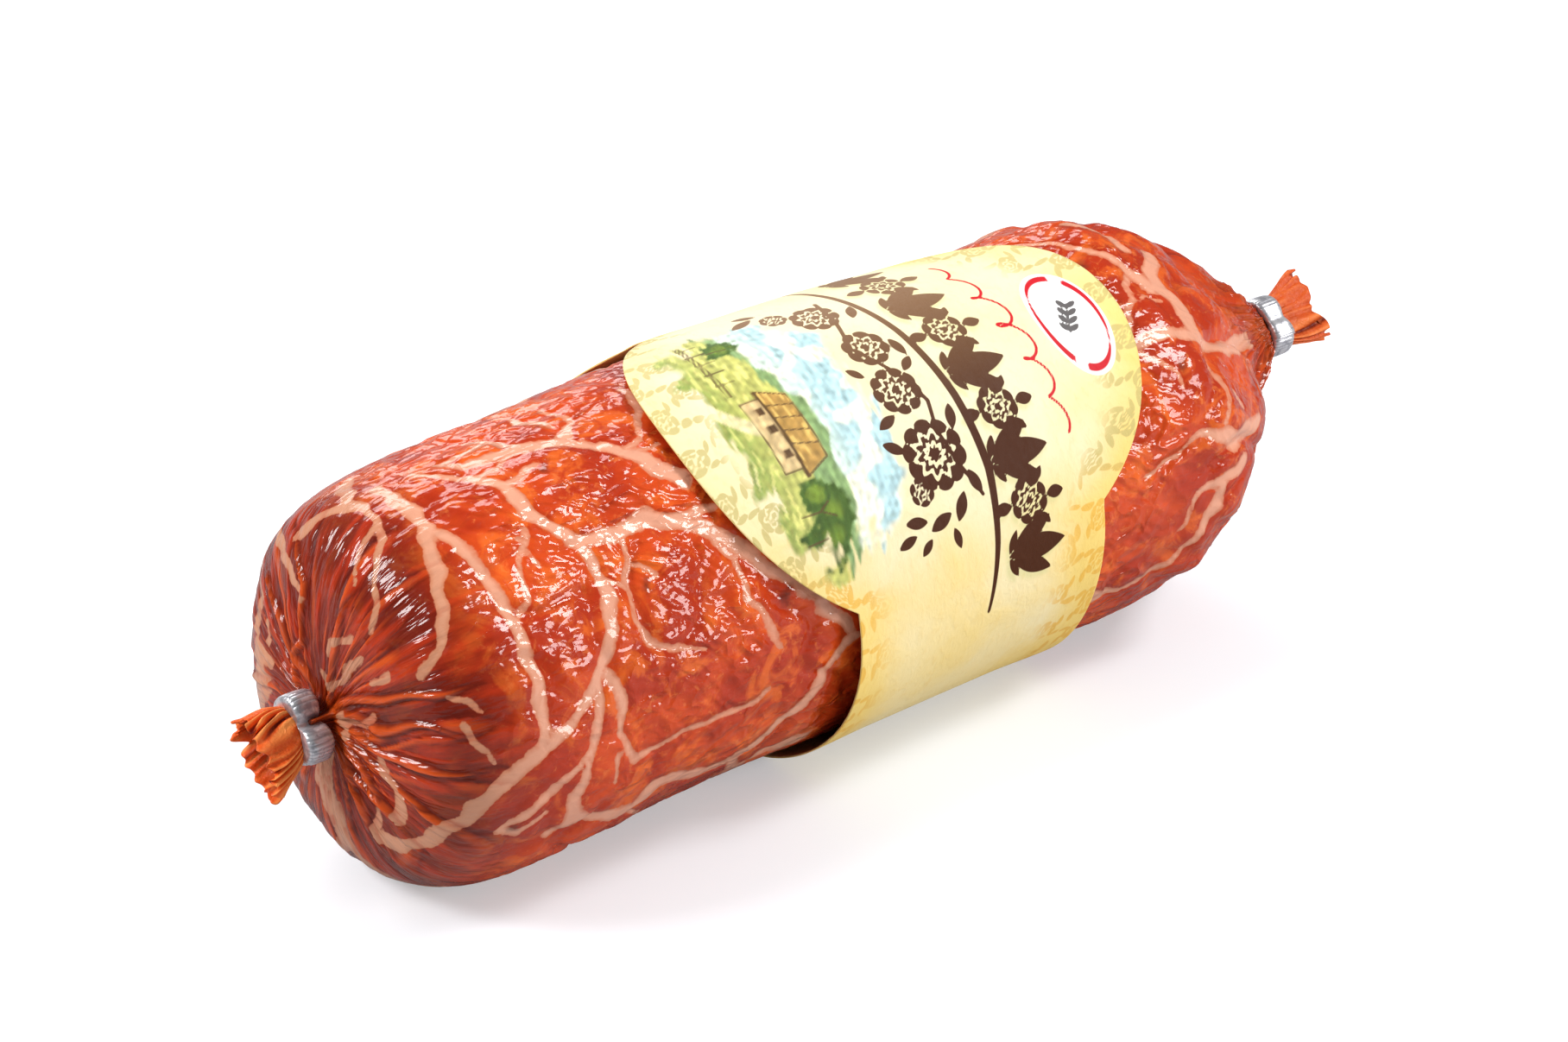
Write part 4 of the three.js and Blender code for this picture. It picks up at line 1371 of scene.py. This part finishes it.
@dataclass
class Print:
    """What is printed on the front panel, laid out on X and on the length round the body, both in mm.

    Upright in the print is +X, and left to right in it is from the top of the body to its front.
    """

    scale: float = 41.0  # mm for each radian of turn
    motif_x: float = 24.5
    motif_turns: tuple[float, float] = (110.0, 5.0)
    motifs: int = 9
    badge: tuple[float, float, float, float] = (51.2, 61.5, 7.3, 13.2)  # X, turn, half width, half height
    sprig_tilt: float = 62.0
    lattice: tuple[float, float] = (9.2, 10.4)  # pitch of the tone-on-tone pattern
    painting_turn: float = 60.0
    painting_size: tuple[float, float] = (30.0, 34.0)  # half width and height

    def at(self, degrees: float) -> float:
        """Length round the body at a turn in degrees."""
        return math.radians(degrees) * self.scale

    def ornaments(self, x: Array, b: Array) -> Array:
        """Row of folk ornaments: a palmette of leaves and an eight-petalled rosette, by turns."""
        shapes = []
        for index, degrees in enumerate(np.linspace(*self.motif_turns, self.motifs)):
            middle = self.at(float(degrees))
            leaves = ROSETTE_LEAVES if index % 2 else PALMETTE
            if index % 2:
                shapes.append(blossom(x, b, (self.motif_x, middle), 4.3, 8))
            for out, side, length, width, tilt in leaves:
                shapes.append(leaf(x, b, (self.motif_x + out, middle + side), (length, width), tilt))
        return np.minimum.reduce(shapes)

    def branch(self, x: Array, turn: Array, b: Array) -> Array:
        """Flowering branch: a tapering bough, a bowed brush stroke, blossoms and leaves along them."""
        shapes = [line_field(x, turn, self.scale, (BOUGH, STROKE))]
        for out, degrees, radius, petals in BLOSSOMS:
            shapes.append(blossom(x, b, (out, self.at(degrees)), radius, petals))
        for out, degrees, length, width, tilt in LEAVES:
            shapes.append(leaf(x, b, (out, self.at(degrees)), (length, width), tilt))
        return np.minimum.reduce(shapes)

    def flourish(self, x: Array, turn: Array) -> Array:
        """Thin pen flourish: a looping line, X = middle + height sin(a), turn falling with a sine added."""
        phase = np.linspace(0.0, 11.0 * math.pi, 90)
        size = 0.4 + 0.6 * np.sin(phase / 11.0) ** 2
        route_x = 38.2 + 2.5 * size * np.sin(phase)
        route_turn = 99.0 - 66.0 * phase / phase[-1] + 3.2 * size * np.sin(phase + 1.9)
        route = [(float(a), float(t), 0.62) for a, t in zip(route_x, route_turn)]
        return line_field(x, turn, self.scale, (route,))

    def badge_fields(self, x: Array, b: Array) -> tuple[Array, Array, Array]:
        """Plain oval badge: its disc, its broken ring and the sprig of leaves on it.

        Args:
            x: X of the places.
            b: length round the body of the places.

        Returns:
            Signed distances to the disc, the ring and the sprig.
        """
        mid_x, degrees, half_x, half_b = self.badge
        dx, db = x - mid_x, b - self.at(degrees)
        out = np.hypot(dx / half_x, db / half_b)
        disc = (out - 1.0) * half_x
        angle = np.arctan2(db / half_b, dx / half_x)
        band = np.abs(out - 0.87) * half_x - 0.38 * (0.35 + np.abs(np.sin(angle + 0.7)) ** 0.8)
        ring = np.maximum(band, 0.5 - 3.0 * np.abs(np.sin(angle - 1.0)))
        stem = math.radians(self.sprig_tilt)
        sprig = [leaf(dx, db, (-0.4, 0.0), (8.6, 0.55), self.sprig_tilt)]
        for along in (-2.9, -1.0, 0.9, 2.8):
            for tilt in (self.sprig_tilt - 48.0, self.sprig_tilt + 48.0):
                way = math.radians(tilt)
                spot_x = along * math.cos(stem) + 1.35 * math.cos(way) - 0.4
                spot_b = along * math.sin(stem) + 1.35 * math.sin(way)
                sprig.append(leaf(dx, db, (spot_x, spot_b), (2.9, 1.25), tilt))
        return disc, ring, np.minimum.reduce(sprig)

    def damask(self, x: Array, b: Array) -> Array:
        """Tone-on-tone pattern: blossoms on a staggered lattice, with a pair of leaves between them."""
        lattice_x, lattice_b = self.lattice
        warp_x = x + 0.5 * waves(spread(x, b, 0.0), 11.0, 120)
        warp_b = b + 0.5 * waves(spread(x, b, 0.0), 11.0, 121)
        column = np.floor(warp_x / lattice_x)
        shifted = warp_b + lattice_b / 2.0 * (column % 2)
        cell_x = warp_x - (column + 0.5) * lattice_x
        cell_b = shifted - (np.floor(shifted / lattice_b) + 0.5) * lattice_b
        shapes = [blossom(cell_x, cell_b, (0.0, 0.0), 2.9, 6)]
        for tilt in (35.0, 145.0, 215.0, 325.0):
            spot = (4.1 * math.cos(math.radians(tilt)), 4.4 * math.sin(math.radians(tilt)))
            shapes.append(leaf(cell_x, cell_b, spot, (3.8, 1.3), tilt + 50.0))
        return np.minimum.reduce(shapes)

    def sketch(self, x: Array, turn: Array) -> Array:
        """Pen lines over the painting: the barn's edges and openings, a fence and tree trunks."""
        half, tall = self.painting_size
        across = math.degrees(half / self.scale)
        routes = [
            [(tall * (w - 1.0), self.painting_turn - across * u, 0.42) for u, w in line] for line in PEN_LINES
        ]
        return line_field(x, turn, self.scale, routes)

    def painting(self, x: Array, b: Array) -> tuple[Array, Array]:
        """Small painted landscape: sky with clouds, hills, a meadow with a path, trees and a barn.

        Args:
            x: X of the places, up in the painting.
            b: length round the body of the places, leftwards in the painting.

        Returns:
            Display colours from 0 to 1, and how much the painting covers the paper.
        """
        half, tall = self.painting_size
        u, w = (self.at(self.painting_turn) - b) / half, x / tall + 1.0
        flat = spread(x, b, 0.0)
        cloud = waves(flat, 9.0, 130) + 0.5 * waves(flat, 4.0, 131)
        stroke = waves(flat * (3.0, 0.7, 1.0), 3.4, 132)
        grain = waves(flat, 1.7, 133)

        def lay(under: Array, share: Array, colour: tuple[float, float, float]) -> Array:
            """One colour laid over another by its share."""
            shade = np.array(colour) / 255.0 * (1.0 + 0.05 * (stroke + grain))[..., None]
            return under + (shade - under) * np.clip(share, 0.0, 1.0)[..., None]

        picture = lay(np.ones((*x.shape, 3)), np.ones(x.shape), (176, 208, 212))
        picture = lay(picture, ease(cloud, -0.1, 0.9), (240, 241, 224))
        picture = lay(picture, 0.5 * ease(w, 0.75, 0.55), (238, 236, 200))
        ridge = 0.56 + 0.05 * np.sin(4.0 * u + 1.0) + 0.02 * cloud
        picture = lay(picture, ease(w, ridge + 0.02, ridge - 0.01), (132, 160, 104))
        low = 0.45 + 0.05 * np.sin(3.0 * u + 3.0) + 0.01 * stroke
        picture = lay(picture, ease(w, low + 0.015, low - 0.015), (186, 186, 102))
        picture = lay(picture, ease(w, 0.3, 0.02) * (0.7 + 0.3 * stroke), (112, 138, 66))
        picture = lay(picture, 0.6 * ease(stroke, 0.4, 1.2) * ease(w, low, low - 0.1), (222, 210, 128))
        path = np.abs(u + 0.35 - 0.35 * np.sin(5.0 * w)) - 0.16 * (0.62 - w)
        picture = lay(picture, ease(path, 0.02, -0.02) * ease(w, low, low - 0.05), (226, 212, 160))
        trees = ((0.62, 0.42, 0.17), (0.78, 0.34, 0.15), (0.5, 0.36, 0.1), (-0.75, 0.48, 0.1))
        for spot_u, spot_w, size in trees:
            away = np.hypot(u - spot_u, (w - spot_w) * 1.1) + 0.018 * cloud + 0.012 * grain
            lit = 0.7 * ease(away + 0.05 * (u - spot_u), size * 0.7, size * 0.2)
            picture = lay(picture, ease(away, size + 0.02, size - 0.02), (72, 98, 40))
            picture = lay(picture, lit, (128, 150, 52))
        wall = np.maximum(np.abs(u - 0.05) - 0.27, np.abs(w - 0.32) - 0.075)
        picture = lay(picture, ease(wall, 0.012, -0.012), (206, 178, 128))
        slope = 0.55 * np.maximum(w - 0.38, 0.0)
        gable = np.maximum(np.abs(u - 0.05) - 0.33 + slope, np.abs(w - 0.455) - 0.085)
        picture = lay(picture, ease(gable, 0.012, -0.012), (180, 140, 74))
        picture = lay(picture, ease(gable, 0.012, -0.012) * ease(stroke, 0.2, 0.9) * 0.7, (222, 186, 104))
        eaves = np.maximum(np.abs(u - 0.05) - 0.33, np.abs(w - 0.372) - 0.01)
        picture = lay(picture, ease(eaves, 0.008, -0.004), (92, 66, 34))
        for spot_u in (-0.12, 0.02, 0.2):
            pane = np.maximum(np.abs(u - spot_u) - 0.028, np.abs(w - 0.325) - 0.026)
            picture = lay(picture, ease(pane, 0.006, -0.006), (88, 64, 40))
        edge = np.maximum(np.abs(u), np.abs(w - 0.5) * 2.05) + 0.07 * cloud + 0.05 * stroke
        round_off = np.hypot(u, (w - 0.5) * 2.0) + 0.06 * cloud
        cover = ease(np.maximum(edge, round_off - 0.12), 1.0, 0.86)
        return picture, cover


@dataclass
class Label:
    """The paper label: a strip glued into a loop, with an oval panel at the front and one at the back."""

    form: Form
    place: Place
    start_turn: float = math.radians(-120.0)
    lap: float = math.radians(13.0)
    thickness: float = 0.3
    rows: int = 425  # one more than a multiple of `coarse`, like `columns`
    columns: int = 213
    coarse: int = 4  # the inner face has one vertex for so many of the outer face's
    art: Print = field(default_factory=Print)
    finish: PaperFinish = PaperFinish()

    def turns(self) -> Array:
        """Turns of the rows: from the lap's lower end round the front to its upper end, finest in front."""
        low, high, stop = math.radians(-9.0), math.radians(131.0), self.start_turn + 2.0 * math.pi + self.lap
        bounds = np.array([self.start_turn, low, high, stop])
        return paced(np.linspace(0.0, 1.0, self.rows), bounds, (0.5, 1.0, 0.46))

    def face(self, turn: Array, x: Array, inset: float) -> Array:
        """One face of the paper: the body's radius plus the stand-off, and raised where the ends overlap.

        Args:
            turn: turn of the places.
            x: X of the places.
            inset: how far the face lies under the outer one.

        Returns:
            Points in the body's frame.
        """
        form = self.form
        upper = self.start_turn + 2.0 * math.pi
        raised = (self.thickness + 0.06) * ease(turn, upper - 0.12, upper)
        flat = spread(x, self.art.scale * np.cos(turn), self.art.scale * np.sin(turn))
        left, right = form.label_edges(turn)
        edge = np.minimum(x - left, right - x)
        wavy = (0.16 * waves(flat, 34.0, 140) + 0.16) * ease(edge, 16.0, 0.0)
        radius = form.body_radius(x) + form.stand_off(x, turn) + form.paper + raised + wavy - inset
        y, z = form.middle(x)
        height = np.maximum(z + radius * np.sin(turn), inset + 0.01 + raised)
        return spread(x, y - radius * np.cos(turn), height)

    def fields(self, x: Array, turn: Array) -> dict[str, Array]:
        """Numbers that the printed finish reads at each place of the outer face.

        Args:
            x: X of the places.
            turn: their turns.

        Returns:
            Each layer of print by name, most of them as signed distances in mm.
        """
        b, art = turn * self.art.scale, self.art
        left, right = self.form.label_edges(turn)
        edge = np.minimum(x - left, right - x)
        front = ease(np.abs(turn - math.radians(62.0)), math.radians(100.0), math.radians(80.0))
        mottle = waves(spread(x, b, 0.0), 22.0, 150)
        low = ease(turn, math.radians(48.0), math.radians(-12.0))
        warmth = 0.12 + 0.42 * ease(edge, 15.0, 0.0) + 0.14 * ease(x, 20.0, 50.0) + 0.08 * mottle
        disc, ring, sprig = art.badge_fields(x, b)
        share = ease(edge + 2.0 * mottle, 15.0, 7.0) * ease(np.abs(x - 8.0), 18.0, 27.0)
        layers = {
            "ink": np.minimum(art.ornaments(x, b), art.branch(x, turn, b)),
            "sketch": art.sketch(x, turn),
            "shadow": art.ornaments(x + 0.9, b + 0.9),
            "red": np.minimum(ring, art.flourish(x, turn)),
            "badge": disc,
            "sprig": sprig,
        }
        layers = {name: values + 99.0 * (1.0 - front) for name, values in layers.items()}
        return layers | {
            "warmth": warmth + 0.42 * low,
            "damask": art.damask(x, b),
            "damask_share": 0.75 * share,
            "low": low,
            # Paler ink towards the top: partly a printed fade, partly painted glare.
            "print_fade_and_glare": 0.9 * ease(turn, math.radians(38.0), math.radians(100.0)),
        }

    def stitch(self) -> list[list[int]]:
        """Faces along the paper's four edges, each from one inner edge to the outer ones it spans.

        Returns:
            Vertex numbers of each face, the outer face's vertices first and then the inner face's.
        """
        coarse = self.coarse
        inner_shape = (self.rows - 1) // coarse + 1, (self.columns - 1) // coarse + 1
        outer = np.arange(self.rows * self.columns).reshape(self.rows, self.columns)
        inner = outer.size + np.arange(math.prod(inner_shape)).reshape(inner_shape)
        faces = []
        edges = (
            (outer[:, 0], inner[:, 0]),
            (outer[::-1, -1], inner[::-1, -1]),
            (outer[0, ::-1], inner[0, ::-1]),
            (outer[-1], inner[-1]),
        )
        for fine, plain in edges:
            for step in range(len(plain) - 1):
                span = fine[step * coarse : (step + 1) * coarse + 1]
                faces.append([*plain[[step + 1, step]].tolist(), *span.tolist()])
        return faces

    def build(self) -> bpy.types.Object:
        """Fine outer face, coarse inner face, and the cut edges that join them.

        Returns:
            The finished piece.
        """
        turn = self.turns()[:, None]
        left, right = self.form.label_edges(turn)
        share = np.linspace(0.0, 1.0, self.columns)[None, :]
        x, turn = left + (right - left) * share, turn + 0.0 * share
        outer = self.face(turn, x, 0.0)
        every = slice(None, None, self.coarse)
        inner = self.face(turn[every, every], x[every, every], self.thickness)
        vertices = np.concatenate([outer.reshape(-1, 3), inner.reshape(-1, 3)])
        faces = grid_faces(*x.shape, False, False).tolist()
        faces += grid_faces(*inner.shape[:2], False, False, outer[..., 0].size)[:, ::-1].tolist()
        faces += self.stitch()
        piece = make_object("printed_label", vertices, faces, self.place)
        spare = inner[..., 0].size
        picture, cover = self.art.painting(x, turn * self.art.scale)
        for name, values in self.fields(x, turn).items():
            store(piece, name, np.append(values, np.full(spare, 9.0)))
        store(piece, "painted", np.append(cover, np.zeros(spare)))
        store(piece, "underside", np.append(np.zeros(x.size), np.ones(spare)))
        colours = np.ones((x.size + spare, 4))
        colours[: x.size, :3] = linear(np.clip(picture.reshape(-1, 3), 0.0, 1.0))
        store(piece, "painting", colours)
        register(piece, "paper_label", self.finish.material())
        return piece


# ---------------------------------------------------------------------------------------------------
# Studio
# ---------------------------------------------------------------------------------------------------


@dataclass
class Studio:
    """Pale floor, soft lights and camera."""

    place: Place
    look_at: tuple[float, float, float] = (-6.2, -3.4, 42.5)
    azimuth: float = math.radians(-38.35)
    elevation: float = math.radians(28.68)
    distance: float = 900.0
    lens: float = 107.98
    glow: float = 0.36  # of the floor, seen straight
    sky: tuple[float, float] = (0.44, 0.14)  # strength, and strength where gloss mirrors it
    lamps: tuple[tuple[str, tuple[float, float, float], float, float], ...] = (
        ("key", (-0.8, 0.3, 0.75), 0.4, 10.5),
        ("right", (0.62, -0.42, 0.9), 0.34, 7.5),
        ("front", (0.75, -1.0, 0.42), 0.4, 6.8),
        ("back", (0.3, 0.9, 0.6), 0.6, 5.0),
    )  # name, place in metres, side in metres, watts

    def floor(self) -> None:
        """Wide flat floor a hair under the part, mottled white, darker where the part's gloss mirrors it."""
        side, low = 3.0, -0.00005
        mesh = bpy.data.meshes.new("floor")
        corners = [(-side, -side, low), (side, -side, low), (side, side, low), (-side, side, low)]
        mesh.from_pydata(corners, [], [[0, 1, 2, 3]])
        g = Graph("studio floor")
        rays = g.node("ShaderNodeLightPath").outputs
        shade = g.mix(g.noise(8.0, 2.0), rgb(204, 207, 212), rgb(208, 211, 216))
        mesh.materials.append(
            g.dress(
                Base_Color=g.mix(rays["Is Glossy Ray"], shade, rgb(150, 150, 152)),
                Roughness=0.6,
                Specular_IOR_Level=0.2,
                Emission_Color=(1.0, 1.0, 1.0, 1.0),
                Emission_Strength=g.times(rays["Is Camera Ray"], self.glow),
            )
        )
        add_to_scene("floor", mesh)

    def area(self, name: str, spot: tuple[float, float, float], size: float, power: float) -> None:
        """Square soft light aimed at the middle of the body.

        Args:
            name: its name.
            spot: where it hangs, in metres.
            size: its side in metres.
            power: in watts.
        """
        lamp = bpy.data.lights.new(name, "AREA")
        lamp.energy, lamp.size = power, size
        holder = add_to_scene(name, lamp)
        holder.location = spot
        aim = Vector((0.0, 0.0, 0.04)) - Vector(spot)
        holder.rotation_euler = aim.to_track_quat("-Z", "Y").to_euler()

    def lights(self) -> None:
        """Key from above on the left, weaker lights right, in front and behind, and a pale sky.

        The sky is dimmer where gloss mirrors it and white where it is seen straight.
        """
        for lamp in self.lamps:
            self.area(*lamp)
        world = bpy.data.worlds.new("studio")
        bpy.context.scene.world = world
        world.use_nodes = True
        nodes, links = world.node_tree.nodes, world.node_tree.links
        rays = nodes.new("ShaderNodeLightPath").outputs
        strength, seen = nodes.new("ShaderNodeMapRange"), nodes.new("ShaderNodeMath")
        strength.inputs["To Min"].default_value, strength.inputs["To Max"].default_value = self.sky
        seen.operation = "MAXIMUM"
        links.new(rays["Is Glossy Ray"], strength.inputs["Value"])
        links.new(rays["Is Camera Ray"], seen.inputs[0])
        links.new(strength.outputs["Result"], seen.inputs[1])
        links.new(seen.outputs["Value"], nodes["Background"].inputs["Strength"])
        nodes["Background"].inputs["Color"].default_value = (1.0, 1.0, 1.0, 1.0)

    def camera(self) -> None:
        """Long lens that looks at the body from in front, on the near end's side, and from above."""
        data = bpy.data.cameras.new("camera")
        data.lens, data.sensor_width = self.lens, 36.0
        data.clip_start, data.clip_end = 0.05, 20.0
        holder = add_to_scene("camera", data)
        cos = math.cos(self.elevation)
        back = Vector((math.sin(self.azimuth) * cos, -math.cos(self.azimuth) * cos, math.sin(self.elevation)))
        target = Vector(self.place.metres(np.array(self.look_at)))
        holder.location = target + back * self.distance * MM
        holder.rotation_euler = (-back).to_track_quat("-Z", "Y").to_euler()
        bpy.context.scene.camera = holder

    def build(self) -> None:
        """Floor, lights and camera, with colours shown as they are."""
        self.floor()
        self.lights()
        self.camera()
        bpy.context.scene.view_settings.view_transform = "Standard"


def body_place(form: Form) -> Place:
    """Where the body stands in the part, from the clips' boxes and the two clips' known places on it.

    Args:
        form: sizes of the body.

    Returns:
        The body's place.
    """
    near_low, near_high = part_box("near_clip")
    far_low, far_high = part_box("far_clip")
    x = (near_low.x + near_high.x + far_low.x + far_high.x) / 4.0 / MM
    roll, turn = form.near_roll, np.linspace(0.0, 2.0 * math.pi, 361)
    side = np.abs(turn_between(turn, math.pi / 2.0))
    (lobe, lobe_turn, lobe_spread), (notch, notch_spread) = form.strap_lobe, form.strap_notch
    grow = form.clearance + form.strap + lobe * bell(side - lobe_turn, lobe_spread)
    grow -= notch * bell(side, notch_spread)
    wide = (form.neck_width / 2.0 + grow) * np.cos(turn)
    up = (form.neck_depth / 2.0 + grow) * np.sin(turn)
    outline_y = -wide * math.cos(roll) - up * math.sin(roll)
    clip_y = (near_low.y + near_high.y) / 2.0 / MM - (outline_y.min() + outline_y.max()) / 2.0
    return Place(np.array([x, clip_y - form.near_bend[0], 0.0]))


def main() -> None:
    """Builds every piece and the studio round them."""
    logging.basicConfig(level=logging.INFO, format="%(name)s: %(message)s")
    form = Form()
    place = body_place(form)
    log.info("body's place in the part, mm: %s", np.round(place.offset, 3))
    # The far tail has the same film as the near one, in darker colours: painted shade.
    shaded_far_film = TailFinish(film=rgb(192, 74, 20), light=rgb(222, 116, 52), fold_and_mouth_shade=rgb(110, 24, 4))
    near_tail = Tail(
        form, place, End.NEAR, "near_tail", length=8.0, width=16.4, depth=9.4, drop=3.0, mouth=5.0,
        pleats=23, pleat_depth=0.62, jagged=0.9, seed=200,
    )
    far_tail = Tail(
        form, place, End.FAR, "far_tail", length=10.0, width=16.2, depth=2.8, drop=-1.6, mouth=1.6,
        pleats=19, pleat_depth=0.6, jagged=0.6, seed=220, finish=shaded_far_film,
    )
    near_clip = Clip(
        form, place, End.NEAR, "near_clip", notch=2.6, lobe=1.2, step_turn=0.15, thickness=2.4, stretch=1.16,
    )
    far_clip = Clip(
        form, place, End.FAR, "far_clip", notch=0.5, lobe=0.5, step_turn=0.9, thickness=2.1, stretch=1.12,
        ridge_depth=0.08,
    )
    pieces = (Casing(form, place), near_tail, far_tail, near_clip, far_clip, Label(form, place))
    for maker in (Studio(place), *pieces):
        maker.build()


if __name__ == "__main__":
    main()
